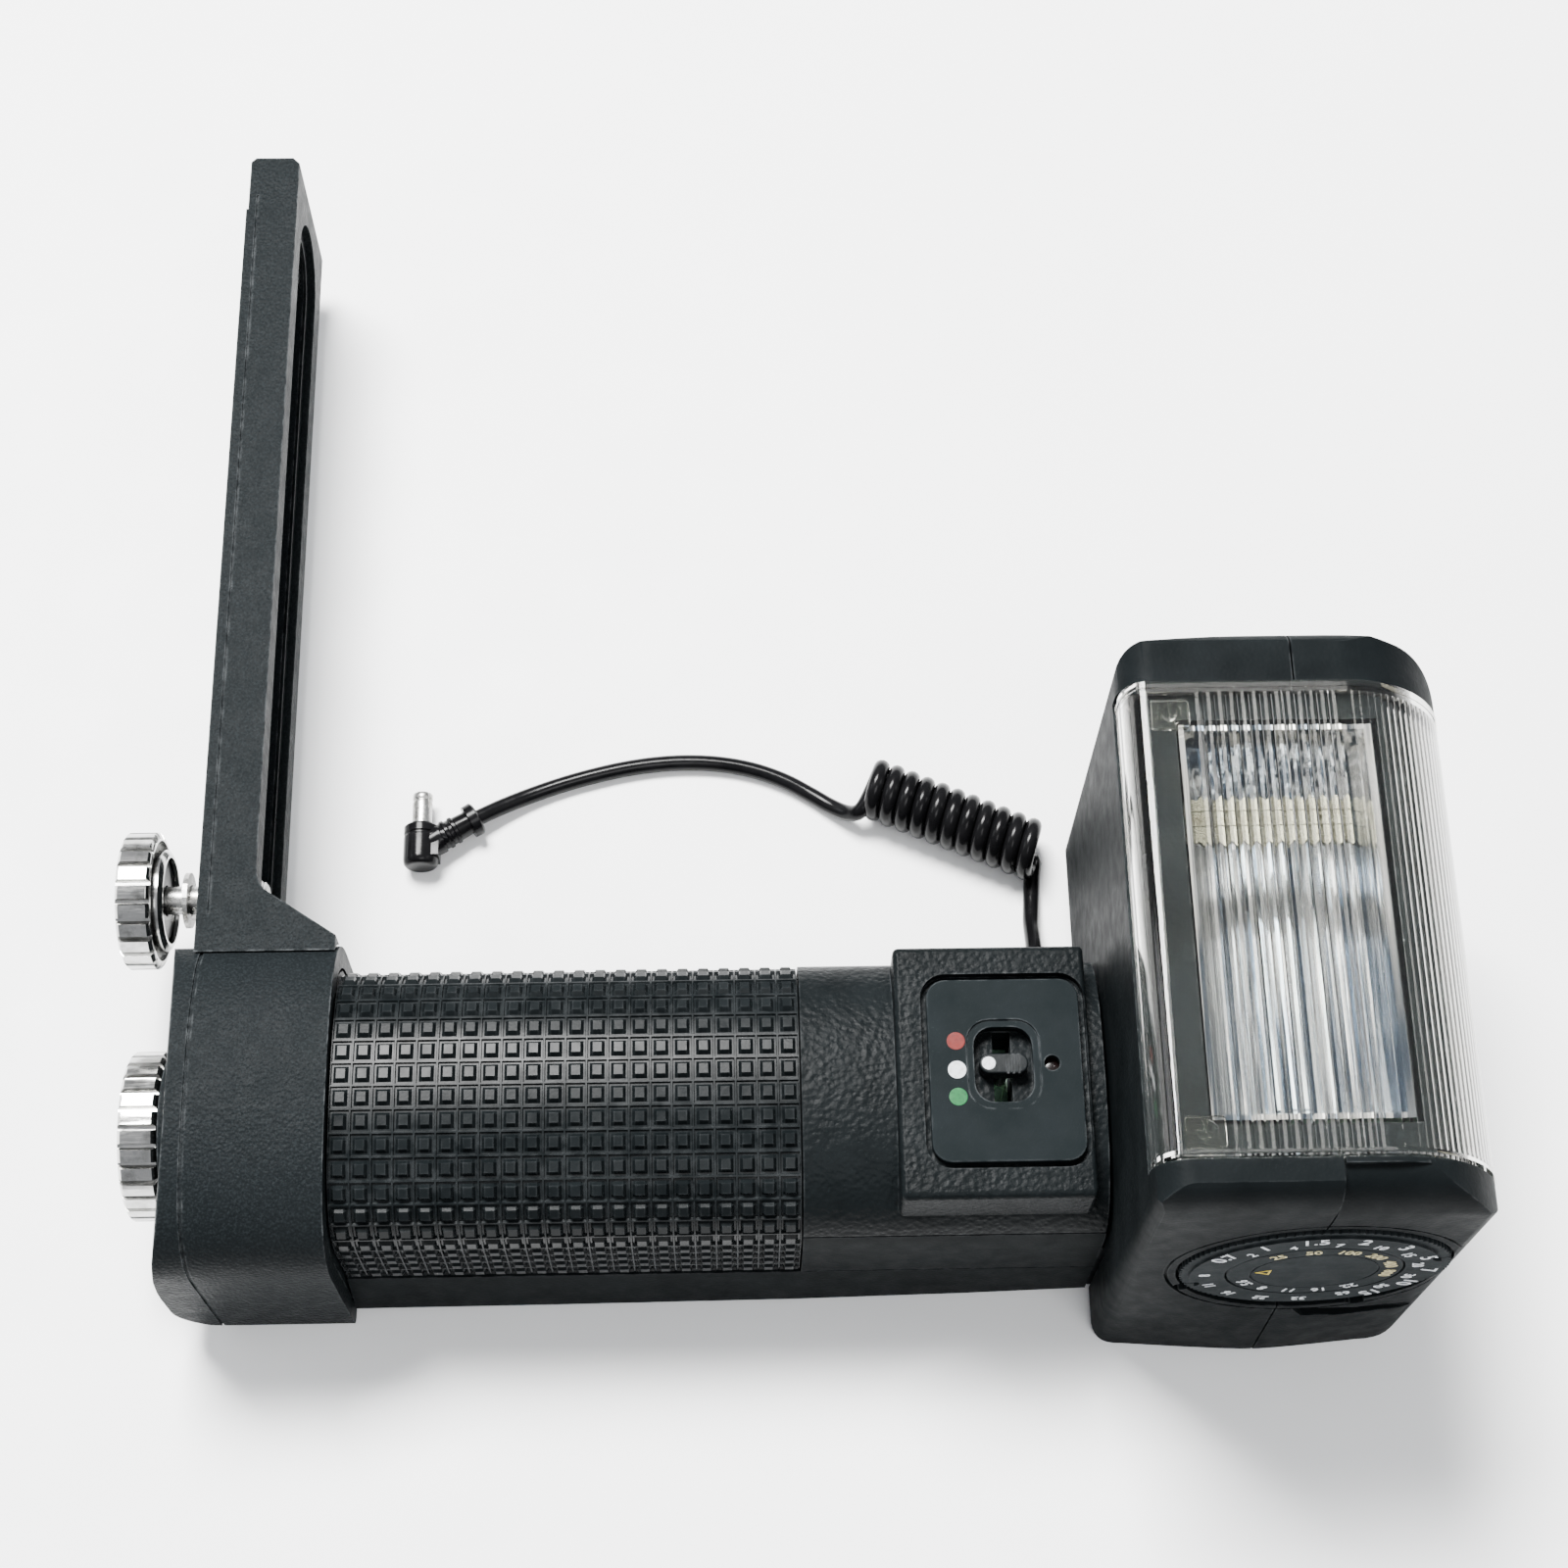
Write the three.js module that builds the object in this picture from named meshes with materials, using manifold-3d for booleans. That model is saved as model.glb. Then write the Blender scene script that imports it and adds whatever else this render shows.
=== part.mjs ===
// Handle-mount electronic flash: a battery handle, a tilting lamp head, an L-shaped camera bracket
// and a curly sync cord. It lies on its back with the lens facing up.
//
// Drawing directions, in millimetres: x runs along the handle from the bracket end to the head,
// y runs across it towards the end of the bracket arm, and z runs from the rear face to the lens.
// x = 0 is the bracket collar's outer face, y = 0 the handle's middle plane, z = 0 the rear face.

import * as THREE from 'three';
import { mergeVertices } from 'three/addons/utils/BufferGeometryUtils.js';
import Module from 'manifold-3d';

const wasm = await Module();
wasm.setup();

// Driving dimensions.
const GAP = 0.3; // air left between two pieces that touch

const collar = { length: 28, half: 26.7, top: 46.2, floor: 4, wall: 3, shoulder: 30, heel: 11.5 };
const handle = { start: 28.3, end: 147.2, half: 22.7, rear: 0.6, front: 44.4, shoulder: 28, split: 15.3 };
const skin = { outer: 1.6, wall: 2, rearWall: 2.3 };
const grip = { end: 100.2 };
const block = { start: 115, end: 144.7, half: 20.2, top: 47.3 };
const plate = { x0: 119.9, x1: 143.4, half: 14.6, thick: 1.2, round: 3 };
const slider = { x: 131.4, y: 0.9, length: 7.5, width: 3.2, wellX: 4.5, wellY: 6 };
const sensor = { x: 138.8, y: 0.9, hole: 1.2, lens: 1.8 };

const arm = { x0: 5.4, x1: 14.4, z0: 10.5, z1: 40.5, end: 175.9, gusset: 37.5, web: 2.3 };
const channel = { y0: 29.5, y1: 168, half: 7.2, lipHalf: 9.6, lip: 1.8, slotHalf: 3.6 };
const cameraScrew = { y: 38.3, z: 25.5, thread: 3.175, neck: 2.3, tip: 14.1, knob: 11.25, rim0: -8.9, rim1: -1 };
const clamp = { z: 19.5, knob: 13.5, thick: 6, stud: 3, depth: 22 };

const pivot = { x: 159.8, z: 12, knuckle: 11.5, half: 22, axle: 2.5 };
const head = { x0: 147.9, x1: 199.5, y0: -31, y1: 57.6, top: 83.3, split: 174, wall: 2.2, flare: 2.4, flareTop: 46 };
const lens = { y0: -24.6, y1: 47.8, thick: 1.8, footLeft: 75, footRight: 60.5, bed: 78.8, stepX: 187.2 };
const reflector = { x: 171.2, half: 13.6, y0: -18, y1: 42, top: 78.5, bottom: 55, endSlope: 8, wall: 0.8 };
const tube = { z: 59.5, radius: 2.3, y0: -24, y1: 48 };
const dial = { x: 176, z: 46.2, outer: 20, inner: 13, face: -31.9, thick: 1.7 };

const cells = { radius: 7.1, x0: 36.6, x1: 86.8, pitch: 14.7, y: 7.35, z: 10.7 };
const door = { x0: 34.3, x1: 90.4, half: 16.2, thick: 2, swing: 1, hingeX: 93.2, hingeZ: 2.4, barrel: 1.5 };
const cord = { radius: 1.45, coil: 5.5, exitX: 141.5, exitZ: 8 };

// Finishes.
const finishes = {
  shellBlack: { color: 0x1b1d20, roughness: 0.55, metalness: 0 },
  bracketBlack: { color: 0x23262a, roughness: 0.7, metalness: 0 },
  gripBlack: { color: 0x141517, roughness: 0.45, metalness: 0 },
  plateGrey: { color: 0x26282c, roughness: 0.6, metalness: 0 },
  chrome: { color: 0xd9dadb, roughness: 0.18, metalness: 1 },
  steel: { color: 0xa8abad, roughness: 0.35, metalness: 1 },
  brass: { color: 0xb8964f, roughness: 0.35, metalness: 1 },
  clear: { color: 0xe6e4da, roughness: 0.08, metalness: 0 },
  mirror: { color: 0xe8ebee, roughness: 0.06, metalness: 1 },
  cordBlack: { color: 0x0b0b0c, roughness: 0.25, metalness: 0 },
  board: { color: 0x2f5a3a, roughness: 0.6, metalness: 0 },
  cellJacket: { color: 0x8a7a3c, roughness: 0.4, metalness: 0.3 },
  capacitorSleeve: { color: 0x202a45, roughness: 0.4, metalness: 0 },
  dialGrey: { color: 0x34363a, roughness: 0.6, metalness: 0 },
};

// Solid helpers: closed three.js geometries are joined and cut as solids.
const alongX = new THREE.Matrix4().makeBasis(
  new THREE.Vector3(0, 1, 0),
  new THREE.Vector3(0, 0, 1),
  new THREE.Vector3(1, 0, 0),
);
const alongMinusY = new THREE.Matrix4().makeBasis(
  new THREE.Vector3(1, 0, 0),
  new THREE.Vector3(0, 0, 1),
  new THREE.Vector3(0, -1, 0),
);

function toSolid(geometry) {
  const bare = geometry.clone();
  bare.deleteAttribute('normal');
  bare.deleteAttribute('uv');
  const merged = mergeVertices(bare, 1e-4);
  const vertProperties = new Float32Array(merged.attributes.position.array);
  const triVerts = new Uint32Array(merged.index.array);
  return new wasm.Manifold(new wasm.Mesh({ numProp: 3, vertProperties, triVerts }));
}

function toGeometry(solid) {
  const mesh = solid.getMesh();
  const geometry = new THREE.BufferGeometry();
  geometry.setAttribute('position', new THREE.BufferAttribute(mesh.vertProperties, 3));
  geometry.setIndex(new THREE.BufferAttribute(mesh.triVerts, 1));
  geometry.computeVertexNormals();
  return geometry;
}

// A shape drawn in the y-z plane, extruded from x0 to x1.
function prismX(shape, x0, x1, curveSegments = 6) {
  const geometry = new THREE.ExtrudeGeometry(shape, { depth: x1 - x0, bevelEnabled: false, curveSegments });
  geometry.applyMatrix4(alongX);
  geometry.translate(x0, 0, 0);
  return toSolid(geometry);
}

// A shape drawn in the x-z plane, extruded from y0 to y1.
function prismY(shape, y0, y1, curveSegments = 8) {
  const geometry = new THREE.ExtrudeGeometry(shape, { depth: y1 - y0, bevelEnabled: false, curveSegments });
  geometry.applyMatrix4(alongMinusY);
  geometry.translate(0, y1, 0);
  return toSolid(geometry);
}

// A shape drawn in the x-y plane, extruded from z0 to z1.
function prismZ(shape, z0, z1, curveSegments = 8) {
  const geometry = new THREE.ExtrudeGeometry(shape, { depth: z1 - z0, bevelEnabled: false, curveSegments });
  geometry.translate(0, 0, z0);
  return toSolid(geometry);
}

function box(x0, x1, y0, y1, z0, z1) {
  const geometry = new THREE.BoxGeometry(x1 - x0, y1 - y0, z1 - z0);
  geometry.translate((x0 + x1) / 2, (y0 + y1) / 2, (z0 + z1) / 2);
  return toSolid(geometry);
}

function rodX(radius, x0, x1, y, z, segments = 24) {
  const geometry = new THREE.CylinderGeometry(radius, radius, x1 - x0, segments);
  geometry.rotateZ(Math.PI / 2);
  geometry.translate((x0 + x1) / 2, y, z);
  return toSolid(geometry);
}

function rodY(radius, y0, y1, x, z, segments = 24) {
  const geometry = new THREE.CylinderGeometry(radius, radius, y1 - y0, segments);
  geometry.translate(x, (y0 + y1) / 2, z);
  return toSolid(geometry);
}

function rodZ(radius, z0, z1, x, y, segments = 24) {
  const geometry = new THREE.CylinderGeometry(radius, radius, z1 - z0, segments);
  geometry.rotateX(Math.PI / 2);
  geometry.translate(x, y, (z0 + z1) / 2);
  return toSolid(geometry);
}

function polygon(points) {
  return new THREE.Shape(points.map(([u, v]) => new THREE.Vector2(u, v)));
}

function roundedRect(u0, u1, v0, v1, r) {
  const shape = new THREE.Shape();
  shape.moveTo(u0 + r, v0);
  shape.lineTo(u1 - r, v0);
  shape.absarc(u1 - r, v0 + r, r, -Math.PI / 2, 0, false);
  shape.lineTo(u1, v1 - r);
  shape.absarc(u1 - r, v1 - r, r, 0, Math.PI / 2, false);
  shape.lineTo(u0 + r, v1);
  shape.absarc(u0 + r, v1 - r, r, Math.PI / 2, Math.PI, false);
  shape.lineTo(u0, v0 + r);
  shape.absarc(u0 + r, v0 + r, r, Math.PI, 1.5 * Math.PI, false);
  return shape;
}

// D-shaped section in the y-z plane: flat rear, upright sides and a bowed front.
function dSection(half, rear, front, shoulder) {
  const rearRound = 2.2;
  const fullness = 0.72;
  const rise = shoulder + fullness * (front - shoulder);
  const shape = new THREE.Shape();
  shape.moveTo(rearRound - half, rear);
  shape.lineTo(half - rearRound, rear);
  shape.quadraticCurveTo(half, rear, half, rear + rearRound);
  shape.lineTo(half, shoulder);
  shape.bezierCurveTo(half, rise, fullness * half, front, 0, front);
  shape.bezierCurveTo(-fullness * half, front, -half, rise, -half, shoulder);
  shape.lineTo(-half, rear + rearRound);
  shape.quadraticCurveTo(-half, rear, rearRound - half, rear);
  return shape;
}

function handleSection(inset) {
  return dSection(handle.half - inset, handle.rear + inset, handle.front - inset, handle.shoulder - inset / 2);
}

function collarSection(inset) {
  return dSection(collar.half - inset, inset, collar.top - inset, collar.shoulder - inset / 2);
}

// Everything above or below a level, as a large block.
const FAR = 400;

function above(z) {
  return box(-FAR, FAR, -FAR, FAR, z, FAR);
}

function below(z) {
  return box(-FAR, FAR, -FAR, FAR, -FAR, z);
}

// Group of named meshes.
const drawing = new THREE.Group();

function place(name, solidOrGeometry, finish) {
  const geometry = solidOrGeometry.isBufferGeometry ? solidOrGeometry : toGeometry(solidOrGeometry);
  const mesh = new THREE.Mesh(geometry, new THREE.MeshStandardMaterial(finishes[finish]));
  mesh.name = name;
  drawing.add(mesh);
  return mesh;
}

// Bracket: collar cup, slotted arm and the screws that hold them together.
const bracketScrewX = [9.5, 22];
const bracketScrewZ = 13;

function bracketCollar() {
  const cup = prismX(collarSection(0), 0, collar.length).intersect(collarHeel(0));
  const hollow = prismX(collarSection(collar.wall), collar.floor, collar.length + 1)
    .intersect(collarHeel(collar.wall));
  const studHole = rodX(clamp.stud + GAP, -1, collar.floor + 1, 0, clamp.z);
  let solid = cup.subtract(hollow).subtract(studHole);
  for (const x of bracketScrewX) {
    solid = solid.subtract(rodY(1.6, collar.half - 5, collar.half + 5, x, bracketScrewZ, 16));
    solid = solid.subtract(rodY(2.9, collar.half - 5, collar.half - 1.4, x, bracketScrewZ, 16));
  }
  return solid;
}

// Side view of the collar: its rear outer corner is a large round.
function collarHeel(inset) {
  const { heel } = collar;
  const reach = 60;
  const shape = new THREE.Shape();
  shape.moveTo(reach, inset);
  shape.lineTo(reach, reach);
  shape.lineTo(inset, reach);
  shape.lineTo(inset, heel);
  shape.absarc(heel, heel, heel - inset, Math.PI, 1.5 * Math.PI, false);
  return prismY(shape, -reach, reach, 6);
}

function bracketArm() {
  const outline = new THREE.Shape();
  const foot = 15;
  outline.moveTo(arm.x0, foot);
  outline.lineTo(collar.length - 0.4, foot);
  outline.lineTo(collar.length - 0.4, collar.half - 0.6);
  outline.lineTo(arm.x1 + 1.4, arm.gusset - 3.4);
  outline.quadraticCurveTo(arm.x1, arm.gusset - 2, arm.x1, arm.gusset + 1.5);
  outline.lineTo(arm.x1, arm.end - 1.2);
  outline.lineTo(arm.x1 - 1.2, arm.end);
  outline.lineTo(arm.x0 + 1.2, arm.end);
  outline.lineTo(arm.x0, arm.end - 1.2);
  let solid = prismZ(outline, arm.z0, arm.z1, 6);
  solid = solid.subtract(prismX(collarSection(-GAP), -5, collar.length + 5));
  const middle = cameraScrew.z;
  const deep = stadiumAlongY(channel.y0, channel.y1, channel.half, middle);
  const lip = stadiumAlongY(channel.y0 - 1.9, channel.y1 + 1.9, channel.lipHalf, middle);
  const slot = stadiumAlongY(channel.y0 + 2, channel.y1 - 3, channel.slotHalf, middle);
  solid = solid.subtract(prismX(deep, arm.x0 + arm.web, collar.length, 8));
  solid = solid.subtract(prismX(lip, arm.x1 - channel.lip, collar.length, 8));
  solid = solid.subtract(prismX(slot, arm.x0 - 1, collar.length, 8));
  for (const x of bracketScrewX) {
    solid = solid.subtract(rodY(1.2, collar.half - 3, collar.half + 6, x, bracketScrewZ, 12));
  }
  return solid;
}

function stadiumAlongY(y0, y1, half, z) {
  const shape = new THREE.Shape();
  shape.moveTo(y0 + half, z - half);
  shape.lineTo(y1 - half, z - half);
  shape.absarc(y1 - half, z, half, -Math.PI / 2, Math.PI / 2, false);
  shape.lineTo(y0 + half, z + half);
  shape.absarc(y0 + half, z, half, Math.PI / 2, 1.5 * Math.PI, false);
  return shape;
}

function bracketScrew(x) {
  const shank = rodY(0.9, collar.half - 2, collar.half + 4, x, bracketScrewZ, 12);
  const cap = rodY(2.6, collar.half - 2.9, collar.half - 1.7, x, bracketScrewZ, 16);
  return shank.add(cap);
}

// Fluted knob turned about an axis along x: flats with narrow grooves between them.
function flutedDisc(radius, flutes, depth, x0, x1, y, z) {
  const points = [];
  const step = (2 * Math.PI) / flutes;
  for (let i = 0; i < flutes; i += 1) {
    const start = i * step;
    for (const [share, r] of [[0.06, radius], [0.74, radius], [0.86, radius - depth], [0.94, radius - depth]]) {
      points.push([y + r * Math.cos(start + share * step), z + r * Math.sin(start + share * step)]);
    }
  }
  return prismX(polygon(points), x0, x1);
}

function cameraKnob() {
  const { y, z, knob, rim0, rim1, neck } = cameraScrew;
  const rim = flutedDisc(knob, 20, 0.6, rim0, rim1, y, z);
  const face = rodX(knob - 2.2, rim1 - 1.2, rim1 + 1, y, z, 32);
  const hub = rodX(7, rim1 - 2, rim1 + 1.4, y, z, 32);
  const bore = rodX(neck + GAP, rim0 + 2.5, rim1 + 3, y, z);
  return rim.subtract(face).add(hub).subtract(bore);
}

function cameraScrewShaft() {
  const { y, z, thread, neck, tip, rim0 } = cameraScrew;
  const shaft = rodX(neck, rim0 + 2.8, tip - 1, y, z, 20);
  const threaded = rodX(thread, tip - 4.5, tip, y, z, 20);
  return shaft.add(threaded);
}

function screwBush() {
  const { y, z, tip, neck } = cameraScrew;
  const x0 = arm.x0 + arm.web + GAP;
  const x1 = tip - 4.5 - GAP;
  const slab = prismX(roundedRect(y - 4.3, y + 5.5, z - 5.8, z + 5.8, 2), x0, x1, 4);
  return slab.subtract(rodX(neck + GAP, x0 - 1, x1 + 1, y, z, 20));
}

function knobWasher() {
  const { y, z, rim1, neck } = cameraScrew;
  const x0 = rim1 + 1.4 + GAP;
  const ring = rodX(4.6, x0, x0 + 0.8, y, z, 24);
  return ring.subtract(rodX(neck + GAP, x0 - 1, x0 + 2, y, z, 24));
}

function clampKnob() {
  const inner = -GAP;
  const outer = inner - clamp.thick;
  const rim = flutedDisc(clamp.knob, 28, 0.55, outer, inner, 0, clamp.z);
  const dish = rodX(clamp.knob - 3.5, outer - 1, outer + 0.8, 0, clamp.z, 32);
  const bore = rodX(clamp.stud + GAP, outer + 2.5, inner + 1, 0, clamp.z);
  return rim.subtract(dish).subtract(bore);
}

function clampStud() {
  return rodX(clamp.stud, 2.8 - GAP - clamp.thick, clamp.depth, 0, clamp.z, 20);
}

// Handle: foot plug, two shells, grip, switch housing and what is inside.
function footPlug() {
  const fit = collar.wall + GAP + 0.05;
  const outside = prismX(collarSection(fit), collar.floor + GAP, collar.length - 0.1).intersect(collarHeel(fit));
  const tongue = prismX(handleSection(4.2), collar.length - 1, handle.start + 4.3);
  const hollow = prismX(handleSection(6.6), 9, handle.start + 6);
  const boss = rodX(7.4, 8, collar.length - 2, 0, clamp.z);
  const bore = rodX(clamp.stud + GAP, 0, 12, 0, clamp.z);
  const insertSeat = rodX(5, 9, collar.length, 0, clamp.z, 12);
  return outside.add(tongue).subtract(hollow).add(boss).subtract(bore).subtract(insertSeat);
}

function handleInsert() {
  const x0 = 9 + GAP;
  return rodX(4.7, x0, x0 + 14, 0, clamp.z, 12).subtract(rodX(clamp.stud + GAP, 0, 40, 0, clamp.z));
}

const handleScrews = [[104, 16.9], [104, -16.9], [130, 16.9], [130, -16.9]];

function frontShell() {
  const core = prismX(handleSection(skin.outer + GAP), handle.start, handle.end);
  const bandTop = 33.3;
  const band = prismX(handleSection(0), grip.end + GAP, handle.end).intersect(below(bandTop));
  const hollow = prismX(handleSection(skin.outer + skin.wall + GAP), handle.start - 1, handle.end - 2);
  const neckWindow = box(handle.end - 4, handle.end + 1, -18.4, 18.4, handle.rear, 24);
  let solid = core.add(band).subtract(hollow).subtract(neckWindow);
  for (const [x, y] of handleScrews) {
    solid = solid.add(rodZ(2.6, handle.split, 24, x, y, 12));
    solid = solid.subtract(rodZ(1.1, handle.split - 1, 22, x, y, 12));
  }
  solid = solid.intersect(above(handle.split));
  const stemSlot = box(slider.x - 1.4, slider.x + 1.4, slider.y - 6, slider.y + 6, 38, 46);
  return solid.subtract(stemSlot);
}

function rearShell() {
  const outside = prismX(handleSection(0), handle.start, handle.end);
  const hollow = prismX(handleSection(skin.rearWall), handle.start - 1, handle.end + 1);
  let solid = outside.subtract(hollow).intersect(below(handle.split - GAP));
  const doorHole = box(door.x0 - GAP, door.x1 + door.swing, -door.half - GAP, door.half + GAP, -1, 5);
  const barrelHole = box(door.x1, door.hingeX + 2, -8.6, 8.6, -1, 5);
  solid = solid.subtract(doorHole).subtract(barrelHole);
  const pinLevel = door.hingeZ;
  for (const side of [-1, 1]) {
    const lug = box(door.hingeX - 1.2, door.hingeX + 3, side * 10.2 - 1.3, side * 10.2 + 1.3, 1.5, 4.6);
    const pinHole = rodY(0.9, side * 10 - 3, side * 10 + 3, door.hingeX, pinLevel, 12);
    solid = solid.add(lug).subtract(pinHole);
  }
  for (const [x, y] of handleScrews) {
    solid = solid.add(rodZ(2.6, 2, handle.split - GAP, x, y, 12));
    solid = solid.subtract(rodZ(1.2, 0, handle.split, x, y, 12));
    solid = solid.subtract(rodZ(2.3, 0, 2.2, x, y, 16));
  }
  return solid.subtract(rodY(3.2, 18, 24, cord.exitX, cord.exitZ, 20));
}

function handleScrew([x, y]) {
  return rodZ(0.9, 1.4, 21, x, y, 12).add(rodZ(2, 0.9, 1.9, x, y, 16));
}

function gripPanel() {
  const outside = prismX(handleSection(0), handle.start, grip.end);
  const inside = prismX(handleSection(skin.outer), handle.start - 1, grip.end + 1);
  return outside.subtract(inside).intersect(above(handle.split + 0.1));
}

function switchHousing() {
  const x0 = grip.end + GAP;
  const saddle = prismX(handleSection(0), x0, handle.end).intersect(above(33.3 + GAP));
  const raised = prismX(roundedRect(-block.half, block.half, 34, block.top, 1), block.start, block.end, 3);
  let solid = saddle.add(raised).subtract(prismX(handleSection(skin.outer), x0 - 1, handle.end + 1));
  solid = solid.intersect(above(33.3 + GAP));
  const moat = 0.9;
  const floor = block.top - plate.thick - GAP;
  const pocket = roundedRect(
    plate.x0 - moat,
    plate.x1 + moat,
    -plate.half - moat,
    plate.half + moat,
    plate.round + moat,
  );
  solid = solid.subtract(prismZ(pocket, floor, block.top + 1, 4));
  solid = solid.subtract(prismZ(wellOutline(0.2), floor - 1.5, floor + 1, 4));
  solid = solid.subtract(box(slider.x - 1.4, slider.x + 1.4, slider.y - 6, slider.y + 6, 40, 46));
  return solid.subtract(rodZ(sensor.lens + GAP, floor - 1.6, floor + 1, sensor.x, sensor.y, 20));
}

function wellOutline(grow) {
  const { x, y, wellX, wellY } = slider;
  return roundedRect(x - wellX - grow, x + wellX + grow, y - wellY - grow, y + wellY + grow, 3);
}

function switchPlate() {
  const { x0, x1, half, thick, round } = plate;
  const slab = prismZ(roundedRect(x0, x1, -half, half, round), block.top - thick, block.top, 5);
  const well = prismZ(wellOutline(0), block.top - 3, block.top + 1, 5);
  return slab.subtract(well).subtract(rodZ(sensor.hole, block.top - 3, block.top + 1, sensor.x, sensor.y, 16));
}

function modeSlider() {
  const base = block.top - plate.thick - 1.5;
  const { x, y, length, width } = slider;
  const pill = prismZ(
    roundedRect(x - length / 2, x + length / 2, y - width / 2, y + width / 2, 1.4),
    base,
    block.top - 0.2,
    5,
  );
  return pill.add(rodZ(1, 39, base + 0.5, x, y, 12));
}

function sensorLens() {
  const floor = block.top - plate.thick - GAP;
  return rodZ(sensor.lens, floor - 1.3, floor, sensor.x, sensor.y, 20);
}

function batteryDoor() {
  const panel = box(door.x0, door.x1, -door.half, door.half, handle.rear, handle.rear + door.thick);
  const rib = box(door.x0 + 4, door.x0 + 5, -10, 10, handle.rear + door.thick - 0.1, handle.rear + 2.5);
  const leaf = box(door.x1 - 1, door.hingeX, -8, 8, door.hingeZ - door.barrel, door.hingeZ + 0.2);
  const barrel = rodY(door.barrel, -8, 8, door.hingeX, door.hingeZ, 16);
  const bore = rodY(0.6 + GAP, -10, 10, door.hingeX, door.hingeZ, 12);
  const pull = box(door.x0 + 2, door.x0 + 3, -7, 7, 0, handle.rear + 0.6);
  return panel.add(rib).add(leaf).add(barrel).subtract(bore).subtract(pull);
}

function doorPin() {
  return rodY(0.6, -11.2, 11.2, door.hingeX, door.hingeZ, 12);
}

function batteryCell(side, level) {
  const y = side * cells.y;
  const z = cells.z + level * cells.pitch;
  const can = rodX(cells.radius, cells.x0, cells.x1 - 1.2, y, z, 20);
  return can.add(rodX(2.7, cells.x1 - 2, cells.x1, y, z, 16));
}

function contactPlate(x, direction) {
  const sheet = box(x, x + 0.6, -14.8, 14.8, 4, 32);
  let solid = sheet;
  for (const side of [-1, 1]) {
    for (const level of [0, 1]) {
      const tip = direction > 0 ? [x + 0.3, x + 1.6] : [x - 1, x + 0.3];
      solid = solid.add(rodX(2, tip[0], tip[1], side * cells.y, cells.z + level * cells.pitch, 12));
    }
  }
  return solid;
}

function mainCapacitor() {
  const can = rodX(12.6, 95.5, 137, 0, 21.5, 28);
  return can.add(rodX(1, 136, 139, 4, 21.5, 8)).add(rodX(1, 136, 139, -4, 21.5, 8));
}

function circuitBoard() {
  const board = box(97, 143.5, -12, 12, 36.2, 37.6);
  const switchCan = box(slider.x - 4, slider.x + 4, -7, 8, 37.5, 38.5);
  return board.add(switchCan);
}

function tiltKnuckle() {
  const { x, z, knuckle, half, axle } = pivot;
  const barrel = rodY(knuckle, -half, half, x, z, 36);
  const neck = box(handle.end + GAP, x, -half, half, z - knuckle, z + knuckle);
  const tongue = box(handle.end - 6.5, handle.end + 1, -18, 18, 4.5, 22);
  const wireway = rodX(3.5, handle.end - 8, x - 5, 0, z, 16);
  const drop = rodZ(3.5, z, z + 20, x - 6.5, 0, 16);
  const bore = rodY(axle + GAP, -half - 1, half + 1, x, z, 20);
  return barrel.add(neck).add(tongue).subtract(wireway).subtract(drop).subtract(bore);
}

function tiltAxle() {
  return rodY(pivot.axle, head.y0 + 2.6, pivot.half + 6, pivot.x, pivot.z, 20);
}

// Head: the body is where three outlines meet: the side profile, the plan and the end view.
function headProfile(inset, top) {
  const x0 = head.x0 + inset;
  const x1 = head.x1 - inset;
  const z1 = top - inset;
  const small = Math.max(7 - inset, 0.8);
  const foot = Math.max(4 - inset, 0.6);
  const bowX = 18.5 - inset;
  const bowZ = 22 - inset;
  const shape = new THREE.Shape();
  shape.moveTo(x0 + 3, inset);
  shape.lineTo(x1 - foot, inset);
  shape.absarc(x1 - foot, inset + foot, foot, -Math.PI / 2, 0, false);
  shape.lineTo(x1, z1 - bowZ);
  shape.absellipse(x1 - bowX, z1 - bowZ, bowX, bowZ, 0, Math.PI / 2, false, 0);
  shape.lineTo(x0 + small, z1);
  shape.absarc(x0 + small, z1 - small, small, Math.PI / 2, Math.PI, false);
  shape.lineTo(x0, inset + 3);
  shape.absarc(x0 + 3, inset + 3, 3, Math.PI, 1.5 * Math.PI, false);
  return shape;
}

function headPlan(inset) {
  const { x0, x1, y1, split } = head;
  const y0 = head.y0 - head.flare;
  const draft = 1.7;
  const shape = new THREE.Shape();
  shape.moveTo(x0 + inset, y0 + 5.5);
  shape.quadraticCurveTo(x0 + inset, y0 + draft + inset, x0 + 5, y0 + draft + inset);
  shape.lineTo(split, y0 + inset);
  shape.lineTo(x1 - 8, y0 + draft + inset);
  shape.quadraticCurveTo(x1 - inset, y0 + draft + inset, x1 - inset, y0 + 9);
  shape.lineTo(x1 - inset, y1 - 12);
  shape.quadraticCurveTo(x1 - inset, y1 - 2.4 - inset, x1 - 10, y1 - 2.1 - inset);
  shape.lineTo(split, y1 - inset);
  shape.lineTo(x0 + 6, y1 - 2.1 - inset);
  shape.quadraticCurveTo(x0 + inset, y1 - 2.4 - inset, x0 + inset, y1 - 7);
  return shape;
}

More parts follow.
